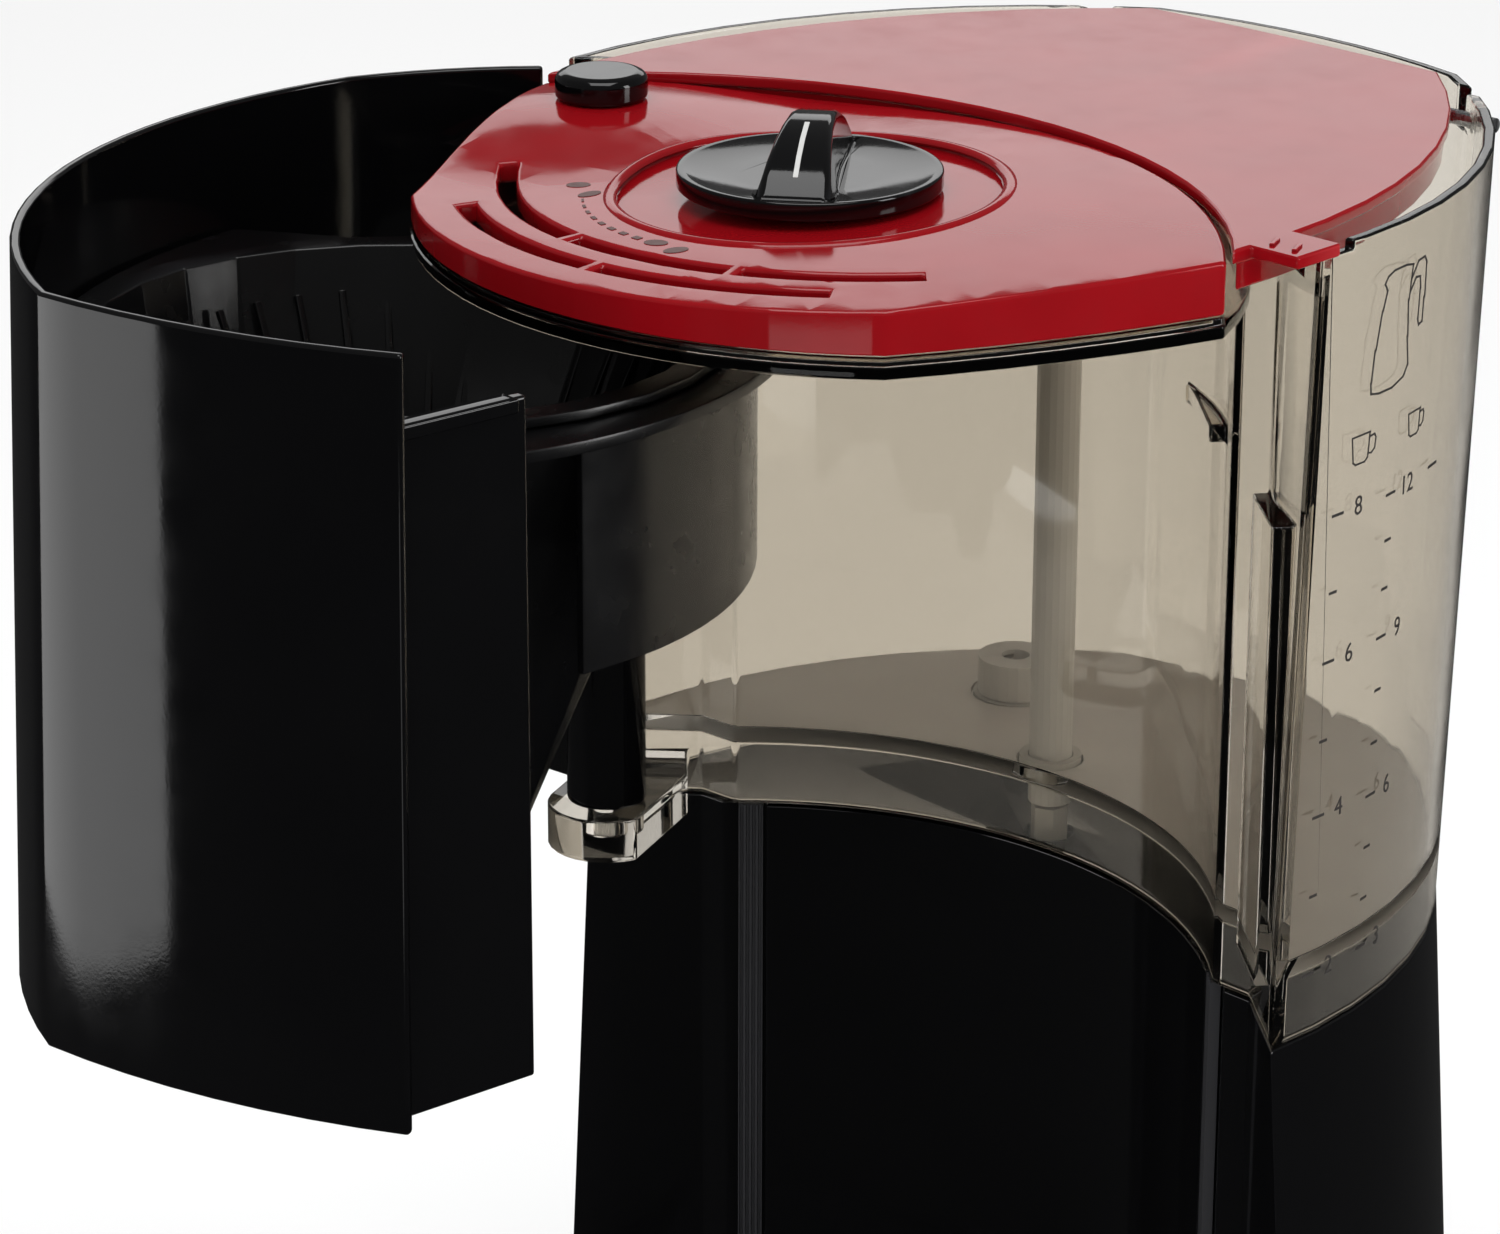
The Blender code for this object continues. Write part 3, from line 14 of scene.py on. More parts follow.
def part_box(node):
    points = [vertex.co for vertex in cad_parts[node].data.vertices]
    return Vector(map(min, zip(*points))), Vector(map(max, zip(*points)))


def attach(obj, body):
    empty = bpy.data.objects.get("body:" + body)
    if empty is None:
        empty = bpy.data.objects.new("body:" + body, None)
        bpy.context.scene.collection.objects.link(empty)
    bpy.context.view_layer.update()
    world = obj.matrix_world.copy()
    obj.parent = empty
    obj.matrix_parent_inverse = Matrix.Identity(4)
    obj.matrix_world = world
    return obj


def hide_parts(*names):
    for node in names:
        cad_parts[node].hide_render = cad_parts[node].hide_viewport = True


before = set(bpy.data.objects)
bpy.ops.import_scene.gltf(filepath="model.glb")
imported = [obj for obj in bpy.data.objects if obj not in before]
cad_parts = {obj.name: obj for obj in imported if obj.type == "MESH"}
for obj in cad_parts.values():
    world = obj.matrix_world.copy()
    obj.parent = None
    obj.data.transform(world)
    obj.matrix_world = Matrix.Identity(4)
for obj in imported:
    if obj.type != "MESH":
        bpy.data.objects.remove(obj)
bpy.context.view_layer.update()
bpy.ops.object.select_all(action="DESELECT")

LOG = logging.getLogger("coffee_maker")
MM = 0.001
# Centre of the filter housing's hinge pin, in millimetres.
HINGE = (-68.0, -29.0)

Object = bpy.types.Object
Material = bpy.types.Material
NodeTree = bpy.types.NodeTree
Socket = bpy.types.NodeSocket
Colour = tuple[float, float, float, float]


class Body(Enum):
    """Bodies of the machine that pieces ride on."""

    MAIN = "body"
    SWING = "filter_unit"
    VALVE = "drip_valve"
    TANK_LID = "tank_lid"
    KNOB = "knob"
    SWITCH = "power_switch"


class Slot(Enum):
    """Material slots of the record."""

    LID_RED = "lid_red"
    BODY_BLACK = "body_black"
    CARRIER_BLACK = "carrier_black"
    SMOKE = "smoke_clear"
    TRIM = "trim_dark"
    STEEL = "steel"
    HEATER = "heater_aluminium"
    SEAL = "seal_silicone"
    RUBBER = "foot_rubber"
    WHITE = "inner_white"


# ---- colours and nodes ----


def linear(colour: str) -> Colour:
    """Turn an sRGB hex colour into a linear one.

    Args:
        colour: Six hex digits, without a hash.

    Returns:
        Red, green, blue and alpha, all linear.
    """
    parts = [int(colour[i : i + 2], 16) / 255 for i in (0, 2, 4)]
    light = [p / 12.92 if p <= 0.04045 else ((p + 0.055) / 1.055) ** 2.4 for p in parts]
    return (light[0], light[1], light[2], 1.0)


def feed(tree: NodeTree, node: bpy.types.Node, inputs: Mapping[str | int, object]) -> None:
    """Set or link the inputs of a node.

    Args:
        tree: The node tree that holds the node.
        node: The node.
        inputs: Values or output sockets, by input name or number.
    """
    for key, value in inputs.items():
        if isinstance(value, Socket):
            tree.links.new(value, node.inputs[key])
        else:
            node.inputs[key].default_value = value


def add_node(
    tree: NodeTree,
    kind: str,
    settings: Mapping[str, object] | None = None,
    inputs: Mapping[str | int, object] | None = None,
) -> bpy.types.Node:
    """Add a node with its settings, and with its inputs set or linked.

    Args:
        tree: The node tree that gets the node.
        kind: The node's type name.
        settings: Attributes of the node.
        inputs: Values or output sockets, by input name or number.

    Returns:
        The new node.
    """
    node = tree.nodes.new(kind)
    for key, value in (settings or {}).items():
        setattr(node, key, value)
    feed(tree, node, inputs or {})
    return node


# ---- finishes ----


@dataclass(frozen=True)
class Finish(ABC):
    """A finish: what a surface is made of and how it was made."""

    name: str

    def material(self) -> Material:
        """Return this finish's material, made once."""
        found = bpy.data.materials.get(self.name)
        if found is not None:
            return found
        made = bpy.data.materials.new(self.name)
        made.use_nodes = True
        tree = made.node_tree
        self.dress(tree, tree.nodes["Principled BSDF"])
        return made

    @abstractmethod
    def dress(self, tree: NodeTree, shader: bpy.types.Node) -> None:
        """Add this finish's own nodes to a material.

        Args:
            tree: The material's node tree.
            shader: The material's surface shader.
        """


def object_place(tree: NodeTree) -> Socket:
    """Return an object's own coordinates, in metres."""
    return add_node(tree, "ShaderNodeTexCoord").outputs["Object"]


def noise(tree: NodeTree, place: Socket, grain_mm: float, detail: float = 2.0) -> Socket:
    """Add a noise pattern of a real size.

    Args:
        tree: The node tree that gets the pattern.
        place: Object coordinates.
        grain_mm: Size of one grain in millimetres.
        detail: How much finer noise rides on it.

    Returns:
        The pattern's value.
    """
    inputs = {"Vector": place, "Scale": 1.0 / (grain_mm * MM), "Detail": detail}
    return add_node(tree, "ShaderNodeTexNoise", None, inputs).outputs[0]


def blend(
    tree: NodeTree, share: Socket, first: Colour | Socket, second: Colour | Socket
) -> Socket:
    """Mix two colours.

    Args:
        tree: The node tree that gets the mix.
        share: How much of the second colour shows, from 0 to 1.
        first: The colour at 0.
        second: The colour at 1.

    Returns:
        The mixed colour.
    """
    inputs = {0: share, 6: first, 7: second}
    return add_node(tree, "ShaderNodeMix", {"data_type": "RGBA"}, inputs).outputs[2]


def ranged(
    tree: NodeTree,
    value: Socket,
    source: tuple[float, float],
    target: tuple[float, float] = (0.0, 1.0),
) -> Socket:
    """Map a value from one range to another, held at its ends.

    Args:
        tree: The node tree that gets the map.
        value: The value to map.
        source: The range that it comes from.
        target: The range that it goes to.

    Returns:
        The mapped value.
    """
    inputs = {"Value": value, "From Min": source[0], "From Max": source[1]}
    inputs |= {"To Min": target[0], "To Max": target[1]}
    return add_node(tree, "ShaderNodeMapRange", None, inputs).outputs[0]


def relief(tree: NodeTree, height: Socket, depth_mm: float, under: Socket | None = None) -> Socket:
    """Add a relief of a real depth.

    Args:
        tree: The node tree that gets the relief.
        height: The relief's pattern.
        depth_mm: Its depth in millimetres.
        under: A coarser relief that it rides on.

    Returns:
        The surface normal.
    """
    inputs = {"Height": height, "Distance": depth_mm * MM}
    if under is not None:
        inputs["Normal"] = under
    return add_node(tree, "ShaderNodeBump", None, inputs).outputs[0]


@dataclass(frozen=True)
class MouldedPlastic(Finish):
    """Injection-moulded ABS or polypropylene.

    The steel mould is polished or spark-eroded, so the surface runs from a wet
    gloss with faint long waves to an even satin grain. Convex edges are painted
    paler as a painted edge highlight.
    """

    colour: str
    shade: str
    # Colour of the painted edge highlight laid on convex edges.
    edge: str
    roughness: float
    spread: float = 0.05
    wave_mm: float = 34.0
    wave_depth: float = 0.05
    grain_mm: float = 0.7
    grain_depth: float = 0.004

    def dress(self, tree: NodeTree, shader: bpy.types.Node) -> None:
        """Add mottled colour, uneven gloss, mould waves, grain and painted edge highlights."""
        place = object_place(tree)
        body = blend(tree, noise(tree, place, 22.0), linear(self.colour), linear(self.shade))
        # Painted highlight: pointiness lifts convex edges to the edge colour.
        painted_edge_highlight = add_node(tree, "ShaderNodeNewGeometry").outputs["Pointiness"]
        skin = blend(tree, ranged(tree, painted_edge_highlight, (0.56, 0.72)), body, linear(self.edge))
        smear = noise(tree, place, 9.0, 4.0)
        gloss = (max(self.roughness - self.spread, 0.01), self.roughness + self.spread)
        waves = relief(tree, noise(tree, place, self.wave_mm, 0.0), self.wave_depth)
        grain = relief(tree, noise(tree, place, self.grain_mm), self.grain_depth, waves)
        inputs = {
            "Base Color": skin,
            "Roughness": ranged(tree, smear, (0.3, 0.7), gloss),
            "Normal": grain,
            "Coat Roughness": 0.04,
            "IOR": 1.53,
        }
        feed(tree, shader, inputs)


@dataclass(frozen=True)
class SmokeSan(Finish):
    """Smoke-tinted SAN, a clear moulded plastic.

    Light passes through with a warm grey tint that deepens at each wall, and
    the polished skin carries sharp reflections with faint flow waves.
    """

    colour: str = "DCD6CB"
    roughness: float = 0.02
    wave_mm: float = 26.0
    wave_depth: float = 0.05

    def dress(self, tree: NodeTree, shader: bpy.types.Node) -> None:
        """Add the tint, the clear gloss and the flow waves."""
        place = object_place(tree)
        haze = noise(tree, place, 12.0, 3.0)
        gloss = (self.roughness, self.roughness + 0.04)
        inputs = {
            "Base Color": linear(self.colour),
            "Roughness": ranged(tree, haze, (0.4, 0.75), gloss),
            "Normal": relief(tree, noise(tree, place, self.wave_mm, 0.0), self.wave_depth),
            "Transmission Weight": 1.0,
            "IOR": 1.5,
        }
        feed(tree, shader, inputs)


@dataclass(frozen=True)
class WorkedMetal(Finish):
    """Drawn steel or cast aluminium: a metal sheen broken by fine drawing lines."""

    colour: str
    shade: str
    roughness: float
    line_mm: float = 0.5
    line_depth: float = 0.006

    def dress(self, tree: NodeTree, shader: bpy.types.Node) -> None:
        """Add the metal's colour, its uneven sheen and its drawing lines."""
        place = object_place(tree)
        cloud = noise(tree, place, 6.0, 3.0)
        stretch = {"Vector": place, "Scale": (1.0, 1.0, 0.08)}
        drawn = add_node(tree, "ShaderNodeMapping", None, stretch).outputs[0]
        lines = noise(tree, drawn, self.line_mm, 1.0)
        gloss = (self.roughness - 0.08, self.roughness + 0.08)
        inputs = {
            "Base Color": blend(tree, cloud, linear(self.colour), linear(self.shade)),
            "Roughness": ranged(tree, lines, (0.3, 0.7), gloss),
            "Normal": relief(tree, lines, self.line_depth),
            "Metallic": 1.0,
        }
        feed(tree, shader, inputs)


@dataclass(frozen=True)
class SoftRubber(Finish):
    """Moulded rubber or silicone: a dull skin with a talc-like bloom."""

    colour: str
    bloom: str
    roughness: float = 0.7
    sheen: float = 0.1

    def dress(self, tree: NodeTree, shader: bpy.types.Node) -> None:
        """Add the bloom, the dull sheen and the fine skin."""
        place = object_place(tree)
        cloud = noise(tree, place, 3.0, 4.0)
        gloss = (self.roughness - 0.08, self.roughness + 0.1)
        inputs = {
            "Base Color": blend(tree, cloud, linear(self.colour), linear(self.bloom)),
            "Roughness": ranged(tree, cloud, (0.0, 1.0), gloss),
            "Normal": relief(tree, noise(tree, place, 0.6), 0.02),
            "Sheen Weight": self.sheen,
        }
        feed(tree, shader, inputs)


@dataclass(frozen=True)
class PadPrint(Finish):
    """Pad-printed ink: a thin, slightly patchy satin film."""

    colour: str
    thin: str

    def dress(self, tree: NodeTree, shader: bpy.types.Node) -> None:
        """Add the film's uneven cover and satin skin."""
        cover = noise(tree, object_place(tree), 1.4, 4.0)
        inputs = {
            "Base Color": blend(tree, cover, linear(self.colour), linear(self.thin)),
            "Roughness": ranged(tree, cover, (0.0, 1.0), (0.35, 0.6)),
            "Normal": relief(tree, cover, 0.01),
        }
        feed(tree, shader, inputs)


# The third colour of each moulded plastic is its painted edge highlight.
RED_GLOSS = MouldedPlastic("red_gloss_abs", "960D16", "850A11", "B2363A", 0.09, 0.03)
BLACK_GLOSS = MouldedPlastic("black_gloss_abs", "09090A", "060607", "1C1C1E", 0.08, 0.025)
BLACK_SATIN = MouldedPlastic(
    "black_satin_pp", "0E0E0F", "0A0A0B", "242426", 0.24, 0.05, 40.0, 0.03, 0.5, 0.008
)
DARK_TRIM = MouldedPlastic(
    "dark_trim_abs", "26262A", "1D1D20", "47474A", 0.38, 0.06, 40.0, 0.03, 0.5, 0.015
)
INNER_WHITE = MouldedPlastic(
    "inner_white_pp", "DAD8D2", "CBC8C0", "EDECE8", 0.4, 0.06, 30.0, 0.03, 0.8, 0.01
)
SMOKE = SmokeSan("smoke_clear_san")
FROST = MouldedPlastic(
    "frosted_san", "EFECE7", "E2DED8", "F4F2EE", 0.4, 0.06, 30.0, 0.02, 0.6, 0.02
)
STEEL = WorkedMetal("drawn_steel", "C9CACC", "AFB1B4", 0.3)
CAST_ALUMINIUM = WorkedMetal("cast_aluminium", "C4C5C8", "A5A7AB", 0.42, 0.9, 0.02)
SILICONE = SoftRubber("clear_silicone", "C9C7C0", "DEDCD6", 0.55)
FOOT_RUBBER = SoftRubber("foot_rubber", "171717", "262625", 0.8)
GREY_INK = PadPrint("grey_print", "6E5452", "624A48")
DARK_INK = PadPrint("dark_print", "2E2B2A", "3C3836")
PALE_INK = PadPrint("pale_print", "D9D9D7", "C6C6C4")


# ---- modelling helpers ----


def take(obj: Object) -> None:
    """Select one object alone and make it active."""
    bpy.ops.object.select_all(action="DESELECT")
    obj.select_set(True)
    bpy.context.view_layer.objects.active = obj


def edit(obj: Object, *steps: Callable[[], object]) -> None:
    """Run steps in edit mode on all of an object's mesh.

    Args:
        obj: The object to edit.
        steps: Calls to run one after another.
    """
    take(obj)
    bpy.ops.object.mode_set(mode="EDIT")
    bpy.ops.mesh.select_all(action="SELECT")
    for step in steps:
        step()
    bpy.ops.object.mode_set(mode="OBJECT")


def pick_faces(obj: Object, test: Callable[[bpy.types.MeshPolygon], bool]) -> None:
    """Select the faces that pass a test, in object mode.

    Args:
        obj: The object whose faces are picked.
        test: Says whether a face is picked.
    """
    mesh = obj.data
    mesh.vertices.foreach_set("select", [False] * len(mesh.vertices))
    mesh.edges.foreach_set("select", [False] * len(mesh.edges))
    mesh.polygons.foreach_set("select", [bool(test(face)) for face in mesh.polygons])


def edit_faces(
    obj: Object, test: Callable[[bpy.types.MeshPolygon], bool], *steps: Callable[[], object]
) -> None:
    """Run edit-mode steps on the faces that pass a test.

    Args:
        obj: The object to edit.
        test: Says whether a face is edited.
        steps: Calls to run one after another.
    """
    take(obj)
    bpy.ops.object.mode_set(mode="EDIT")
    bpy.ops.mesh.select_mode(type="FACE")
    bpy.ops.mesh.select_all(action="DESELECT")
    bpy.ops.object.mode_set(mode="OBJECT")
    pick_faces(obj, test)
    bpy.ops.object.mode_set(mode="EDIT")
    for step in steps:
        step()
    bpy.ops.object.mode_set(mode="OBJECT")


def apply(obj: Object, kind: str, **settings: object) -> None:
    """Add a modifier and apply it.

    Args:
        obj: The object that gets it.
        kind: The modifier's type.
        settings: Its attributes.
    """
    take(obj)
    modifier = obj.modifiers.new(kind.lower(), kind)
    for key, value in settings.items():
        setattr(modifier, key, value)
    bpy.ops.object.modifier_apply(modifier=modifier.name)


def settle(obj: Object) -> None:
    """Put an object's place, turn and size into its mesh."""
    take(obj)
    bpy.ops.object.transform_apply(location=True, rotation=True, scale=True)


def named(obj: Object, name: str) -> Object:
    """Give an object and its mesh a name.

    Args:
        obj: The object.
        name: Its new name.

    Returns:
        The same object.
    """
    obj.name = name
    obj.data.name = name
    return obj


def round_edges(obj: Object, width: float, segments: int = 3, angle: float = 32.0) -> None:
    """Round an object's edges.

    Args:
        obj: The object to round.
        width: Width of the rounding in millimetres.
        segments: Steps of the rounding.
        angle: Smallest angle, in degrees, of an edge that is rounded.
    """
    limit = math.radians(angle)
    settings = {"width": width * MM, "segments": segments, "angle_limit": limit}
    apply(obj, "BEVEL", limit_method="ANGLE", use_clamp_overlap=False, **settings)


def soften(obj: Object, width: float, segments: int = 3, angle: float = 32.0) -> None:
    """Round an object's edges and shade it smooth.

    Args:
        obj: The object to finish.
        width: Width of the rounding in millimetres.
        segments: Steps of the rounding.
        angle: Smallest angle, in degrees, of an edge that is rounded.
    """
    round_edges(obj, width, segments, angle)
    smooth(obj)


def smooth(obj: Object, angle: float = 38.0) -> None:
    """Shade smooth, with large flat faces kept flat.

    Args:
        obj: The object to shade.
        angle: Largest angle, in degrees, of an edge that is smoothed over.
    """
    take(obj)
    bpy.ops.object.shade_smooth_by_angle(angle=math.radians(angle))
    apply(obj, "WEIGHTED_NORMAL", keep_sharp=True, weight=60)


def copy_node(node: str, name: str) -> Object:
    """Copy a frame node into a merged, clean mesh of its own.

    Args:
        node: The frame node to copy.
        name: Name of the new piece.

    Returns:
        The new object.
    """
    obj = bpy.data.objects.new(name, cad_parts[node].data.copy())
    obj.data.name = name
    bpy.context.scene.collection.objects.link(obj)
    take(obj)
    bpy.ops.mesh.customdata_custom_splitnormals_clear()
    edit(
        obj,
        lambda: bpy.ops.mesh.remove_doubles(threshold=0.02 * MM),
        lambda: bpy.ops.mesh.dissolve_limited(angle_limit=math.radians(0.6)),
        lambda: bpy.ops.mesh.vert_connect_concave(),
    )
    return obj


def finish_piece(
    obj: Object, body: Body, finish: Finish, nodes: Sequence[str] = ()
) -> Object:
    """Dress a piece, hang it on its body and hide the frame nodes that it stands for.

    Args:
        obj: The piece.
        body: The body that it rides on.
        finish: Its finish.
        nodes: Frame nodes that it replaces.

    Returns:
        The same piece.
    """
    obj.data.materials.clear()
    obj.data.materials.append(finish.material())
    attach(obj, body.value)
    if nodes:
        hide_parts(*nodes)
    LOG.info("%s: %d faces", obj.name, len(obj.data.polygons))
    return obj


def dress_nodes(finish: Finish, nodes: Iterable[str]) -> None:
    """Give frame nodes a finish, with their shapes left alone.

    Args:
        finish: The finish.
        nodes: Names of the nodes.
    """
    for node in nodes:
        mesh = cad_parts[node].data
        mesh.materials.clear()
        mesh.materials.append(finish.material())
        LOG.info("%s: frame node, %s", node, finish.name)


def move_points(obj: Object, rule: Callable[[Vector], Vector]) -> None:
    """Move every point of a mesh by a rule, in metres.

    Args:
        obj: The object to shape.
        rule: Gives a point's new place from its old one.
    """
    for vertex in obj.data.vertices:
        vertex.co = rule(vertex.co)
    obj.data.update()


def slice_mesh(obj: Object, axis: int, first: float, last: float, step: float) -> None:
    """Cut a mesh across at even steps so that it can be curved.

    Args:
        obj: The object to cut.
        axis: 0 for X, 1 for Y, 2 for Z.
        first: First cut in millimetres.
        last: Last cut in millimetres.
        step: Distance between cuts in millimetres.
    """
    normal = tuple(1.0 if i == axis else 0.0 for i in range(3))
    take(obj)
    bpy.ops.object.mode_set(mode="EDIT")
    at = first
    while at <= last:
        bpy.ops.mesh.select_all(action="SELECT")
        place = tuple(at * MM * part for part in normal)
        bpy.ops.mesh.bisect(plane_co=place, plane_no=normal)
        at += step
    bpy.ops.object.mode_set(mode="OBJECT")


def add_block(name: str, low: Sequence[float], high: Sequence[float], turn: float = 0.0) -> Object:
    """Add a block between two corners, in millimetres, turned about its middle.

    Args:
        name: Name of the block.
        low: Lowest corner.
        high: Highest corner.
        turn: Turn about Z in degrees.

    Returns:
        The new object.
    """
    middle = [(a + b) / 2 * MM for a, b in zip(low, high)]
    size = [(b - a) * MM for a, b in zip(low, high)]
    spin = (0.0, 0.0, math.radians(turn))
    bpy.ops.mesh.primitive_cube_add(size=1.0, location=middle, rotation=spin)
    obj = named(bpy.context.object, name)
    obj.scale = size
    settle(obj)
    return obj


def combine(obj: Object, other: Object, operation: str) -> None:
    """Join or cut with another object, which is then removed.

    Args:
        obj: The object that is kept.
        other: The object that is used up.
        operation: The Boolean to apply.
    """
    apply(obj, "BOOLEAN", operation=operation, object=other, solver="EXACT")
    bpy.data.objects.remove(other, do_unlink=True)


def join_all(pieces: Sequence[Object], name: str) -> Object:
    """Merge several objects into one object.

    Args:
        pieces: The objects, of which the first is kept.
        name: Name of the whole.

    Returns:
        The whole.
    """
    bpy.ops.object.select_all(action="DESELECT")
    for piece in pieces:
        piece.select_set(True)
    bpy.context.view_layer.objects.active = pieces[0]
    bpy.ops.object.join()
    return named(bpy.context.object, name)


# ---- studio ----


def mirrored(tree: NodeTree) -> Socket:
    """Value that is 1 where a ray was mirrored, not let through."""
    path = add_node(tree, "ShaderNodeLightPath").outputs
    through = {0: 1.0, 1: path["Is Transmission Ray"]}
    shut = add_node(tree, "ShaderNodeMath", {"operation": "SUBTRACT"}, through).outputs[0]
    both = {0: path["Is Glossy Ray"], 1: shut}
    return add_node(tree, "ShaderNodeMath", {"operation": "MULTIPLY"}, both).outputs[0]


@dataclass
class Studio:
    """Camera, floor and soft lights."""

    place: Vector = field(default_factory=lambda: Vector((0.6562, -0.7289, 0.6143)))
    yaw: float = -44.7358
    pitch: float = 20.2859
    lens: float = 129.43
    shift: tuple[float, float] = (0.02337, -0.0119)
    room_light: float = 0.8
    room_mirror: float = 0.1
    floor_mirror: str = "2A2A2A"

    def build(self) -> None:
        """Set up the camera, the world, the floor and the lights."""
        self.add_camera()
        self.add_world()
        self.add_floor()
        self.add_light("rear_box", (-1.35, 1.25, 0.95), (0.0, 0.0, 0.34), (1.7, 0.42), 2.6)
        self.add_light("left_card", (-0.44, -0.56, 0.16), (-0.06, -0.12, 0.26), (0.46, 0.3), 0.75)
        self.add_light("low_card", (0.34, -0.72, 0.05), (0.02, 0.0, 0.16), (0.3, 0.16), 0.12)
        self.add_light("right_box", (1.5, 0.6, 0.6), (0.0, 0.0, 0.25), (0.4, 1.2), 8.0)
        self.add_light("over_box", (0.15, -0.2, 1.6), (0.0, 0.0, 0.3), (0.9, 0.9), 7.0)

    def add_camera(self) -> None:
        """Add the camera."""
        data = bpy.data.cameras.new("view")
        data.sensor_fit = "HORIZONTAL"
        data.sensor_width = 36.0
        data.lens = self.lens
        data.shift_x, data.shift_y = self.shift
        data.clip_start = 0.05
        camera = bpy.data.objects.new("view", data)
        yaw, pitch = math.radians(self.yaw), math.radians(self.pitch)
        level = math.cos(pitch)
        aim = Vector((math.sin(yaw) * level, math.cos(yaw) * level, -math.sin(pitch)))
        camera.location = self.place
        camera.rotation_euler = aim.to_track_quat("-Z", "Y").to_euler()
        bpy.context.scene.collection.objects.link(camera)
        bpy.context.scene.camera = camera
        bpy.context.scene.view_settings.view_transform = "Standard"

    def add_world(self) -> None:
        """Add even white light; mirrored, the room looks as dark as a shaded studio."""
        world = bpy.data.worlds.new("white_room")
        world.use_nodes = True
        tree = world.node_tree
        room = tree.nodes["Background"]
        room.inputs["Color"].default_value = linear("FFFFFF")
        room.inputs["Strength"].default_value = self.room_light
        dark = {"Color": linear("FFFFFF"), "Strength": self.room_mirror}
        shaded = add_node(tree, "ShaderNodeBackground", None, dark)
        inputs = {0: mirrored(tree), 1: room.outputs[0], 2: shaded.outputs[0]}
        mixed = add_node(tree, "ShaderNodeMixShader", None, inputs)
        tree.links.new(mixed.outputs[0], tree.nodes["World Output"].inputs["Surface"])
        bpy.context.scene.world = world

    def add_floor(self) -> None:
        """Add the pale floor, dimmer where it is mirrored."""
        bpy.ops.mesh.primitive_plane_add(size=14.0)
        floor = named(bpy.context.object, "floor")
        made = bpy.data.materials.new("pale_floor")
        made.use_nodes = True
        tree = made.node_tree
        paper = tree.nodes["Principled BSDF"]
        paper.inputs["Base Color"].default_value = linear("FCFCFC")
        paper.inputs["Roughness"].default_value = 0.8
        dim = add_node(tree, "ShaderNodeBsdfDiffuse", None, {"Color": linear(self.floor_mirror)})
        inputs = {0: mirrored(tree), 1: paper.outputs[0], 2: dim.outputs[0]}
        mixed = add_node(tree, "ShaderNodeMixShader", None, inputs)
        tree.links.new(mixed.outputs[0], tree.nodes["Material Output"].inputs["Surface"])
        floor.data.materials.append(made)

    def add_light(
        self,
        name: str,
        place: Sequence[float],
        aim: Sequence[float],
        size: tuple[float, float],
        power: float,
    ) -> None:
        """Add one soft box.

        Args:
            name: Name of the light.
            place: Where it stands, in metres.
            aim: The point that it looks at.
            size: Its width and height in metres.
            power: Its power in watts.
        """
        data = bpy.data.lights.new(name, "AREA")
        data.shape = "RECTANGLE"
        data.size, data.size_y = size
        data.energy = power
        lamp = bpy.data.objects.new(name, data)
        lamp.visible_camera = False
        lamp.visible_transmission = False
        lamp.location = place
        to_aim = Vector(aim) - Vector(place)
        lamp.rotation_euler = to_aim.to_track_quat("-Z", "Y").to_euler()
        bpy.context.scene.collection.objects.link(lamp)


# ---- sub-assemblies ----


class SubAssembly(ABC):
    """A group of pieces that are modelled and dressed together."""

    @abstractmethod
    def build(self) -> None:
        """Model and dress the pieces."""


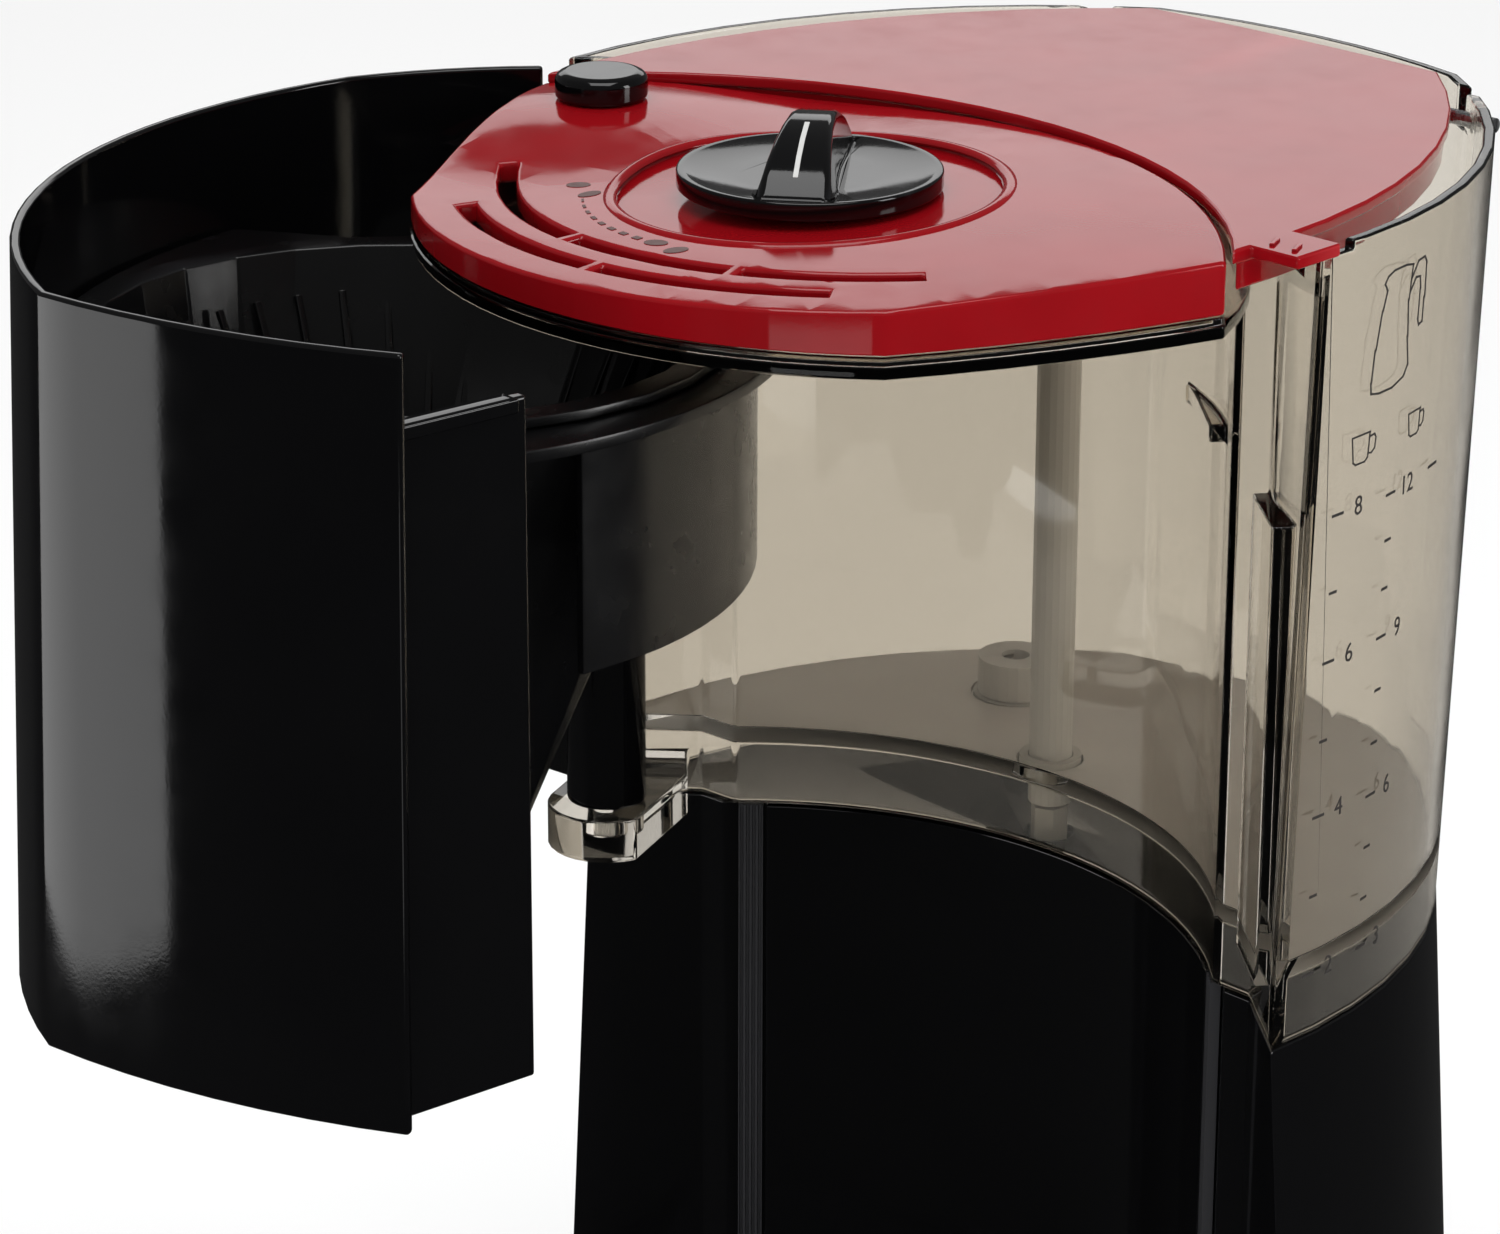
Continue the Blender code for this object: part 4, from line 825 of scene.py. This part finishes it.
@dataclass
class FrontLid(SubAssembly):
    """Red front lid: crowned, with steam slots, a knob dish and grey print.

    The crown is a shallow bowl upside down. It fades out round the hinge cap,
    where the real lid is flat.
    """

    crown_x: float = 45.0
    crown_y: float = 5.0
    crown: float = 3.1e-4
    deepest: float = 6.2
    flat_radius: float = 8.0
    fade: float = 44.0
    edge: float = 0.8
    step: float = 6.0
    dish_lip: float = 36.6
    tick_radius: float = 41.5
    tick_count: int = 9
    beans: tuple[tuple[float, float, float], ...] = (
        (-36.0, -66.0, 30.0), (-30.0, -69.0, 75.0), (2.0, -83.5, 20.0), (8.0, -84.5, 60.0),
    )

    def drop(self, x: float, y: float) -> float:
        """How far the crowned top lies under its highest point.

        Args:
            x: Place across, in metres.
            y: Place along, in metres.

        Returns:
            The drop in millimetres.
        """
        away = (x / MM - self.crown_x) ** 2 + (y / MM - self.crown_y) ** 2
        near = math.hypot(x / MM - HINGE[0], y / MM - HINGE[1])
        share = min(max((near - self.flat_radius) / self.fade, 0.0), 1.0)
        return min(away * self.crown, self.deepest) * share * share * (3.0 - 2.0 * share)

    def build(self) -> None:
        """Model the lid, the raised lip of its dish and its print."""
        low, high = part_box("front_lid")
        lid = copy_node("front_lid", "lid_front")
        round_edges(lid, self.edge)
        slice_mesh(lid, 0, low.x / MM + 3, high.x / MM - 3, self.step)
        slice_mesh(lid, 1, low.y / MM + 3, high.y / MM - 3, self.step)
        base, full = low.z, high.z - 4.2 * MM

        def crown(point: Vector) -> Vector:
            share = min(max((point.z - base) / (full - base), 0.0), 1.0)
            fall = self.drop(point.x, point.y) * MM * share
            return Vector((point.x, point.y, point.z - fall))

        move_points(lid, crown)
        smooth(lid, 34.0)
        finish_piece(lid, Body.MAIN, RED_GLOSS, ["front_lid"])
        self.add_dish_lip(high.z)
        self.add_print(high.z)

    def add_dish_lip(self, level: float) -> None:
        """Model the raised lip round the knob's dish.

        Args:
            level: Height of the lid's highest point, in metres.
        """
        low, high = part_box("selector_knob")
        middle = (low + high) / 2
        bpy.ops.mesh.primitive_torus_add(
            major_segments=96,
            minor_segments=12,
            location=(middle.x, middle.y, level - 0.25 * MM),
            major_radius=self.dish_lip * MM,
            minor_radius=1.3 * MM,
        )
        lip = named(bpy.context.object, "dish_lip")
        lip.scale = (1.0, 1.0, 0.62)
        settle(lip)

        def lay(point: Vector) -> Vector:
            return Vector((point.x, point.y, point.z - self.drop(point.x, point.y) * MM))

        move_points(lip, lay)
        smooth(lip)
        finish_piece(lip, Body.MAIN, RED_GLOSS)

    def add_print(self, level: float) -> None:
        """Print small coffee beans and strength ticks near the knob.

        Args:
            level: Height of the lid's highest point, in metres.
        """
        marks = [self.add_bean(x, y, turn) for x, y, turn in self.beans]
        low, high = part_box("selector_knob")
        middle = (low + high) / 2 / MM
        for i in range(self.tick_count):
            turn = 222 + i * 5.5
            angle = math.radians(turn)
            x = middle.x + self.tick_radius * math.cos(angle)
            y = middle.y + self.tick_radius * math.sin(angle)
            half = (0.35 + 0.12 * i) / 2
            first, last = (x - 0.9, y - half, 0.0), (x + 0.9, y + half, 0.08)
            marks.append(add_block(f"tick_{i}", first, last, turn + 90))
        marks = join_all(marks, "strength_print")

        def lay(point: Vector) -> Vector:
            height = level - self.drop(point.x, point.y) * MM + 0.03 * MM
            return Vector((point.x, point.y, height + point.z))

        move_points(marks, lay)
        finish_piece(marks, Body.MAIN, GREY_INK)

    def add_bean(self, x: float, y: float, turn: float) -> Object:
        """Add one printed coffee bean, cut along its crease.

        Args:
            x: Place across, in millimetres.
            y: Place along, in millimetres.
            turn: Turn about Z in degrees.

        Returns:
            The bean.
        """
        bpy.ops.mesh.primitive_circle_add(vertices=28, radius=1.0, fill_type="NGON")
        bean = named(bpy.context.object, f"bean_{x:.0f}")
        bean.scale = (2.3 * MM, 1.5 * MM, 1.0)
        bean.location = (x * MM, y * MM, 0.0)
        bean.rotation_euler = (0, 0, math.radians(turn))
        settle(bean)
        angle = math.radians(turn)
        across = (-math.sin(angle), math.cos(angle), 0.0)
        edit(
            bean,
            lambda: bpy.ops.mesh.bisect(plane_co=(x * MM, y * MM, 0.0), plane_no=across),
        )
        apply(bean, "SOLIDIFY", thickness=0.08 * MM, offset=1.0)
        return bean


@dataclass
class TankLid(SubAssembly):
    """Red tank lid with its skirt, trunnion lugs and finger tab."""

    edge: float = 0.6

    def build(self) -> None:
        """Model the lid and the two marks on its tab."""
        lid = copy_node("tank_lid", "lid_tank")
        soften(lid, self.edge)
        finish_piece(lid, Body.TANK_LID, RED_GLOSS, ["tank_lid"])
        low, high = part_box("tank_lid")
        marks = []
        for i, shift in enumerate((0.0, 5.0)):
            x, y, top = high.x / MM - 8.5 + shift, low.y / MM + 9.0, high.z / MM
            first, last = (x - 0.5, y - 2.0, top - 0.2), (x + 0.5, y + 2.0, top + 0.5)
            mark = add_block(f"tab_mark_{i}", first, last, 24.0)
            soften(mark, 0.2, 2)
            marks.append(mark)
        both = join_all(marks, "tab_marks")
        finish_piece(both, Body.TANK_LID, RED_GLOSS)
        dress_nodes(STEEL, ["lid_pin_left", "lid_pin_right"])


@dataclass
class SelectorKnob(SubAssembly):
    """Black strength knob: dished disc, arched blade and pointer line."""

    radius: float = 24.5
    disc: float = 3.4
    turn: float = -54.0
    stations: tuple[tuple[float, float, float], ...] = (
        (-22.5, 0.6, 5.2), (-20.0, 4.2, 5.4), (-16.0, 7.0, 5.2), (-10.0, 9.4, 5.0),
        (-3.0, 10.8, 5.0), (4.0, 10.6, 5.4), (10.0, 9.2, 6.0), (15.0, 7.2, 6.6),
        (19.5, 4.6, 7.1), (23.2, 1.4, 7.3),
    )

    def build(self) -> None:
        """Model the disc, the blade and the pointer line."""
        low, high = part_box("selector_knob")
        x, y = (low.x + high.x) / 2 / MM, (low.y + high.y) / 2 / MM
        knob = self.add_disc(x, y, low.z / MM)
        blade = self.add_blade(x, y, low.z / MM + self.disc - 1.2)
        combine(knob, blade, "UNION")
        soften(knob, 0.5, 3, 30.0)
        finish_piece(knob, Body.KNOB, BLACK_GLOSS, ["selector_knob"])
        line = self.add_line(x, y, low.z / MM + self.disc - 1.2)
        finish_piece(line, Body.KNOB, PALE_INK)
        dress_nodes(INNER_WHITE, ["knob_spindle"])

    def add_disc(self, x: float, y: float, low: float) -> Object:
        """Model the disc with its dished top and rounded rim.

        Args:
            x: Middle of the knob across, in millimetres.
            y: Middle of the knob along, in millimetres.
            low: Height of its underside, in millimetres.

        Returns:
            The disc.
        """
        place = (x * MM, y * MM, (low + self.disc / 2) * MM)
        size = {"radius": self.radius * MM, "depth": self.disc * MM}
        bpy.ops.mesh.primitive_cylinder_add(vertices=96, location=place, **size)
        disc = named(bpy.context.object, "knob")
        settle(disc)
        top = (low + self.disc - 0.1) * MM
        edit_faces(
            disc,
            lambda face: face.center.z > top,
            lambda: bpy.ops.mesh.inset(thickness=1.6 * MM),
            lambda: bpy.ops.mesh.inset(thickness=2.0 * MM),
            lambda: bpy.ops.transform.translate(value=(0, 0, -0.5 * MM)),
            lambda: bpy.ops.mesh.inset(thickness=8.0 * MM),
            lambda: bpy.ops.transform.translate(value=(0, 0, -0.5 * MM)),
        )
        return disc

    def add_blade(self, x: float, y: float, level: float) -> Object:
        """Model the arched blade from a block that is cut into stations.

        Args:
            x: Middle of the knob across, in millimetres.
            y: Middle of the knob along, in millimetres.
            level: Height of its underside, in millimetres.

        Returns:
            The blade.
        """
        first, last = self.stations[0][0], self.stations[-1][0]
        blade = add_block("blade", (first, -1.0, 0.0), (last, 1.0, 1.0))
        for at, _, _ in self.stations[1:-1]:
            slice_mesh(blade, 0, at, at, 1.0)

        def shape(point: Vector) -> Vector:
            near = min(self.stations, key=lambda s: abs(s[0] - point.x / MM))
            side = near[2] if point.y > 0 else -near[2]
            if point.z < 0.5 * MM:
                return Vector((point.x, side * 1.06 * MM, -1.0 * MM))
            return Vector((point.x, side * 0.86 * MM, near[1] * MM))

        move_points(blade, shape)
        soften(blade, 1.3, 4, 40.0)
        turn = Matrix.Rotation(math.radians(self.turn), 4, "Z")
        blade.data.transform(Matrix.Translation(Vector((x, y, level)) * MM) @ turn)
        return blade

    def add_line(self, x: float, y: float, level: float) -> Object:
        """Model the pointer line on the blade's sloping end.

        Args:
            x: Middle of the knob across, in millimetres.
            y: Middle of the knob along, in millimetres.
            level: Height of the blade's underside, in millimetres.

        Returns:
            The line.
        """
        pieces = []
        for (a, rise_a, _), (b, rise_b, _) in zip(self.stations[5:8], self.stations[6:9]):
            line = add_block("pointer", (a, -0.45, 0.0), (b, 0.45, 0.12))

            def tilt(point: Vector) -> Vector:
                share = (point.x / MM - a) / (b - a)
                rise = rise_a + (rise_b - rise_a) * share
                return Vector((point.x, point.y, point.z + rise * MM))

            move_points(line, tilt)
            pieces.append(line)
        whole = join_all(pieces, "pointer_line")
        turn = Matrix.Rotation(math.radians(self.turn), 4, "Z")
        whole.data.transform(Matrix.Translation(Vector((x, y, level)) * MM) @ turn)
        return whole


@dataclass
class HingeCap(SubAssembly):
    """Round black cap over the hinge pin."""

    edge: float = 0.8

    def build(self) -> None:
        """Model the cap."""
        cap = copy_node("hinge_cap", "cap")
        soften(cap, self.edge)
        finish_piece(cap, Body.MAIN, BLACK_GLOSS, ["hinge_cap"])
        dress_nodes(STEEL, ["hinge_pin"])


@dataclass
class FilterUnit(SubAssembly):
    """Swinging housing with its carrier, insert, grip and drip stop.

    Places are given on the shut housing, as plan distances in millimetres, and
    shut_place turns them to the open one. The wall flares out from flare_middle.
    """

    flare: float = 0.045
    flare_middle: tuple[float, float] = (-21.5, -81.3)
    open_turn: float = -62.0
    tray_ends: tuple[tuple[float, float], ...] = ((88.4, -16.0), (66.4, -1.0))
    tray_side: tuple[float, float] = (-3.4, 1.2)
    bowl: tuple[float, float] = (8.0, -44.0)
    rib_count: int = 36
    rib_top: tuple[float, float] = (50.0, 8.0)
    rib_foot: tuple[float, float] = (27.0, 56.0)

    def build(self) -> None:
        """Model the housing and all that swings with it."""
        low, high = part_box("filter_housing")
        shell = copy_node("filter_housing", "housing")
        slice_mesh(shell, 2, low.z / MM + 12, high.z / MM - 6, 12.0)
        soften(shell, 0.7, 3)
        self.spread(shell, low.z, high.z)
        smooth(shell)
        finish_piece(shell, Body.SWING, BLACK_GLOSS, ["filter_housing"])
        self.add_grip()
        self.add_ribs()
        for node, name in (("filter_carrier", "carrier"), ("filter_insert", "insert")):
            part = copy_node(node, name)
            soften(part, 0.5, 2)
            finish_piece(part, Body.SWING, BLACK_SATIN, [node])
        knuckle = copy_node("hinge_knuckle", "knuckle")
        soften(knuckle, 0.5, 2)
        finish_piece(knuckle, Body.SWING, BLACK_GLOSS, ["hinge_knuckle"])
        dress_nodes(SILICONE, ["drip_seal"])
        dress_nodes(STEEL, ["drip_spring"])
        dress_nodes(DARK_TRIM, ["drip_valve"])

    def shut_place(self, x: float, y: float) -> tuple[float, float]:
        """Turn a point of the shut housing to where it stands when open.

        Args:
            x: Place across, in millimetres.
            y: Place along, in millimetres.

        Returns:
            The same two measures on the open housing.
        """
        dx, dy = x - HINGE[0], y - HINGE[1]
        turn = math.radians(self.open_turn)
        across = dx * math.cos(turn) - dy * math.sin(turn)
        along = dx * math.sin(turn) + dy * math.cos(turn)
        return HINGE[0] + across, HINGE[1] + along

    def add_grip(self) -> None:
        """Model the grip with the shallow tray in its top."""
        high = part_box("grip_wall")[1]
        grip = copy_node("grip_wall", "grip")
        soften(grip, 0.6)
        finish_piece(grip, Body.SWING, BLACK_GLOSS, ["grip_wall"])
        (x0, y0), (x1, y1) = (self.shut_place(*end) for end in self.tray_ends)
        x, y, top = (x0 + x1) / 2, (y0 + y1) / 2, high.z / MM
        turn = math.degrees(math.atan2(y1 - y0, x1 - x0))
        half = math.hypot(x1 - x0, y1 - y0) / 2
        first = (x - half, y + self.tray_side[0], top - 2.2)
        last = (x + half, y + self.tray_side[1], top + 0.4)
        tray = add_block("grip_tray", first, last, turn)
        settle(tray)
        edit_faces(
            tray,
            lambda face: face.normal.z > 0.9,
            lambda: bpy.ops.mesh.inset(thickness=0.9 * MM),
            lambda: bpy.ops.transform.translate(value=(0, 0, -1.3 * MM)),
        )
        soften(tray, 0.35, 3)
        finish_piece(tray, Body.SWING, BLACK_GLOSS)

    def add_ribs(self) -> None:
        """Model the row of flow ribs inside the filter insert."""
        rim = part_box("filter_insert")[1].z / MM
        ribs = []
        x0, y0 = self.shut_place(*self.bowl)
        for i in range(self.rib_count):
            angle = math.radians(i * 360.0 / self.rib_count)
            top, foot = (
                Vector((x0 + radius * math.cos(angle), y0 + radius * math.sin(angle), rim - depth))
                for radius, depth in (self.rib_top, self.rib_foot)
            )
            middle = (top + foot) / 2
            length = (top - foot).length
            rib = add_block(f"rib_{i}", (-0.7, -0.6, -length / 2), (0.7, 0.6, length / 2))
            aim = (top - foot).to_track_quat("Z", "Y").to_matrix().to_4x4()
            rib.data.transform(Matrix.Translation(middle * MM) @ aim)
            ribs.append(rib)
        whole = join_all(ribs, "insert_ribs")
        soften(whole, 0.3, 2)
        finish_piece(whole, Body.SWING, BLACK_SATIN)

    def spread(self, obj: Object, low: float, high: float) -> None:
        """Widen the wall towards its lower edge.

        Args:
            obj: The housing.
            low: Height of its lower edge, in metres.
            high: Height of its rim, in metres.
        """
        x0, y0 = (part * MM for part in self.flare_middle)

        def widen(point: Vector) -> Vector:
            size = 1.0 + self.flare * (high - point.z) / (high - low)
            return Vector((x0 + (point.x - x0) * size, y0 + (point.y - y0) * size, point.z))

        move_points(obj, widen)


JUG_BODY = (
    (3.6, 0.4), (1.0, 0.9), (0.8, 3.0), (1.6, 9.0), (3.2, 16.0), (4.4, 19.5), (3.4, 21.0),
    (4.4, 22.2), (6.5, 22.9), (10.5, 22.9), (13.2, 22.4), (12.2, 16.0), (12.6, 9.0),
    (13.4, 3.4), (12.0, 1.5), (8.0, 0.4), (3.6, 0.4),
)
JUG_HANDLE = (
    (12.8, 19.8), (15.2, 22.6), (17.6, 22.8), (18.6, 21.4), (18.4, 15.0), (18.0, 10.4),
    (16.8, 10.0), (16.2, 11.4), (16.6, 17.0), (16.2, 19.4), (14.6, 19.6), (12.6, 17.4),
)
CUP_BODY = ((0.0, 5.4), (0.5, 0.6), (1.4, 0.0), (4.2, 0.0), (5.0, 0.6), (5.5, 5.4), (0.0, 5.4))
CUP_HANDLE = ((5.4, 4.5), (7.0, 4.6), (7.5, 3.8), (7.2, 1.9), (6.2, 1.2), (5.1, 1.4))


@dataclass
class WaterTank(SubAssembly):
    """Smoke-tinted tank with its scale, canopy, strainer and riser."""

    side: tuple[float, float] = (95.0, -12.0)
    rear: tuple[float, float] = (38.0, 101.5)
    bulge: float = 17.0
    taper: float = 4.3

    def build(self) -> None:
        """Model the tank, its canopy and its printed scale."""
        tank = copy_node("water_tank", "tank")
        soften(tank, 0.6, 3)
        finish_piece(tank, Body.MAIN, SMOKE, ["water_tank"])
        tank.data.materials.append(FROST.material())
        seal_low, seal_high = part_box("outlet_seal")
        floor_low, floor_high = seal_low.z - 1.0 * MM, seal_high.z + 1.0 * MM
        for face in tank.data.polygons:
            if abs(face.normal.z) > 0.9 and floor_low < face.center.z < floor_high:
                face.material_index = 1
        canopy = copy_node("bay_canopy", "canopy")
        soften(canopy, 0.5, 2)
        finish_piece(canopy, Body.MAIN, SMOKE, ["bay_canopy"])
        self.add_scale()
        dress_nodes(SILICONE, ["outlet_seal", "riser_grommet"])
        dress_nodes(INNER_WHITE, ["tank_strainer", "riser_tube", "spray_arm"])

    def wall_place(self, along: float, level: float) -> Matrix:
        """Place on the tank's right wall, facing out.

        Args:
            along: Distance behind the wall's front end, in millimetres.
            level: Height in millimetres.

        Returns:
            A matrix whose X runs to the rear, Y up and Z outwards.
        """
        low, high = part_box("water_tank")
        shift = -self.taper * (high.z / MM - level) / ((high.z - low.z) / MM)
        a = Vector((self.side[0] + shift, self.side[1]))
        b = Vector((self.rear[0] + shift / 2, self.rear[1] + shift))
        half = (b - a).length / 2
        radius = (half * half + self.bulge**2) / (2 * self.bulge)
        ahead = (b - a).normalized()
        outward = Vector((ahead.y, -ahead.x))
        centre = (a + b) / 2 - outward * (radius - self.bulge)
        turn = along / radius
        spoke = Matrix.Rotation(turn, 2) @ (a - centre)
        at = centre + spoke
        normal = spoke.normalized()
        rear = Vector((-normal.y, normal.x))
        columns = (
            (rear.x, rear.y, 0.0),
            (0.0, 0.0, 1.0),
            (normal.x, normal.y, 0.0),
        )
        matrix = Matrix([[columns[j][i] for j in range(3)] for i in range(3)]).to_4x4()
        matrix.translation = Vector((at.x, at.y, level)) * MM
        return matrix

    def add_scale(self) -> None:
        """Print the two cup scales, with their dashes and numbers."""
        marks = []
        large = (
            (202.5, "2"), (218.5, ""), (234.5, "4"), (249.5, ""),
            (265.0, "6"), (278.5, ""), (293.5, "8"),
        )
        small = (
            (202.5, "3"), (212.5, ""), (223.0, ""), (233.5, "6"), (244.0, ""),
            (254.5, ""), (265.0, "9"), (274.5, ""), (284.0, ""), (293.0, "12"),
        )
        for start, rows in ((9.2, large), (26.3, small)):
            for level, text in rows:
                marks.append(self.add_dash(start, level, 3.4 if text else 2.2))
                if text:
                    marks.append(self.add_number(text, start + 6.2, level))
        marks.append(self.add_dash(43.8, 293.5, 4.2))
        for line in (JUG_BODY, JUG_HANDLE):
            marks += self.add_outline(line, 16.0, 313.5, 0.42)
        for along, level, size in ((12.2, 301.8, 1.0), (31.4, 302.2, 0.86)):
            for line in (CUP_BODY, CUP_HANDLE):
                scaled = [(u * size, v * size) for u, v in line]
                marks += self.add_outline(scaled, along, level, 0.36)
        scale = join_all(marks, "cup_scale")
        finish_piece(scale, Body.MAIN, DARK_INK)

    def add_outline(
        self, line: Sequence[tuple[float, float]], along: float, level: float, width: float
    ) -> list[Object]:
        """Add one printed outline as short strokes that follow the wall.

        Args:
            line: Corners of the outline in millimetres.
            along: Place of its left end along the wall.
            level: Height of its lower end.
            width: Width of the stroke.

        Returns:
            The strokes.
        """
        strokes = []
        for (u0, v0), (u1, v1) in zip(line, line[1:]):
            length = math.hypot(u1 - u0, v1 - v0) + width * 0.8
            low, high = (-length / 2, -width / 2, 0.02), (length / 2, width / 2, 0.1)
            stroke = add_block("stroke", low, high)
            turn = Matrix.Rotation(math.atan2(v1 - v0, u1 - u0), 4, "Z")
            place = self.wall_place(along + (u0 + u1) / 2, level + (v0 + v1) / 2)
            stroke.data.transform(place @ turn)
            strokes.append(stroke)
        return strokes

    def add_dash(self, along: float, level: float, length: float) -> Object:
        """Add one printed dash of the scale.

        Args:
            along: Place of its middle along the wall, in millimetres.
            level: Its height in millimetres.
            length: Its length in millimetres.

        Returns:
            The dash.
        """
        dash = add_block("dash", (-length / 2, -0.28, 0.02), (length / 2, 0.28, 0.1))
        dash.data.transform(self.wall_place(along, level))
        return dash

    def add_number(self, text: str, along: float, level: float) -> Object:
        """Add one printed number of the scale.

        Args:
            text: The number.
            along: Place of its middle along the wall, in millimetres.
            level: Its height in millimetres.

        Returns:
            The number.
        """
        bpy.ops.object.text_add()
        number = bpy.context.object
        number.data.body = text
        number.data.size = 5.2 * MM
        number.data.align_x = "CENTER"
        number.data.align_y = "CENTER"
        number.data.extrude = 0.04 * MM
        number.data.resolution_u = 4
        take(number)
        bpy.ops.object.convert(target="MESH")
        number = bpy.context.object
        number.data.transform(Matrix.Translation((0, 0, 0.06 * MM)))
        number.data.transform(self.wall_place(along, level))
        return number


@dataclass
class Tower(SubAssembly):
    """Column behind the bay, with its glossy panel and fluted trims."""

    edge: float = 0.6

    def build(self) -> None:
        """Model the column, the panel and the trims."""
        shell = copy_node("tower_shell", "column")
        soften(shell, self.edge)
        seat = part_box("water_tank")[0].z - 0.15 * MM
        move_points(shell, lambda point: Vector((point.x, point.y, min(point.z, seat))))
        finish_piece(shell, Body.MAIN, BLACK_GLOSS, ["tower_shell"])
        panel = copy_node("tower_panel", "panel")
        soften(panel, 0.4, 2)
        finish_piece(panel, Body.MAIN, BLACK_GLOSS, ["tower_panel"])
        dress_nodes(DARK_TRIM, ["tower_trim_left", "tower_trim_right"])


@dataclass
class Base(SubAssembly):
    """Base with its jug rest, switch, feet and cable gland."""

    edge: float = 1.2

    def build(self) -> None:
        """Model the base and its outside pieces."""
        shell = copy_node("base_shell", "base")
        soften(shell, self.edge)
        finish_piece(shell, Body.MAIN, BLACK_GLOSS, ["base_shell"])
        for node, name, body in (
            ("jug_rest", "rest_plate", Body.MAIN),
            ("switch_frame", "switch_bezel", Body.MAIN),
            ("switch_rocker", "rocker", Body.SWITCH),
        ):
            part = copy_node(node, name)
            soften(part, 0.5, 3)
            finish_piece(part, body, DARK_TRIM, [node])
        gland = copy_node("cable_gland", "gland")
        soften(gland, 0.5, 3)
        finish_piece(gland, Body.MAIN, FOOT_RUBBER, ["cable_gland"])
        dress_nodes(DARK_TRIM, ["base_plate"])
        dress_nodes(FOOT_RUBBER, [f"foot_{i}" for i in range(1, 5)])
        dress_nodes(STEEL, [f"base_screw_{i}" for i in range(1, 5)])


@dataclass
class InnerWorks(SubAssembly):
    """Heater, hoses, valve and electrics inside the base."""

    def build(self) -> None:
        """Dress the inner pieces."""
        dress_nodes(CAST_ALUMINIUM, ["flow_heater"])
        dress_nodes(SILICONE, ["cold_hose", "hot_hose"])
        dress_nodes(STEEL, ["thermostat"])
        dress_nodes(INNER_WHITE, ["check_valve", "thermal_fuse", "terminal_block"])


def main() -> None:
    """Build every sub-assembly in order and report each piece."""
    logging.basicConfig(level=logging.INFO, format="%(name)s %(message)s")
    Studio().build()
    parts: list[SubAssembly] = [
        FrontLid(), TankLid(), SelectorKnob(), HingeCap(), FilterUnit(),
        WaterTank(), Tower(), Base(), InnerWorks(),
    ]
    for part in parts:
        LOG.info("%s", type(part).__name__)
        part.build()
    bpy.context.view_layer.update()


if __name__ == "__main__":
    main()
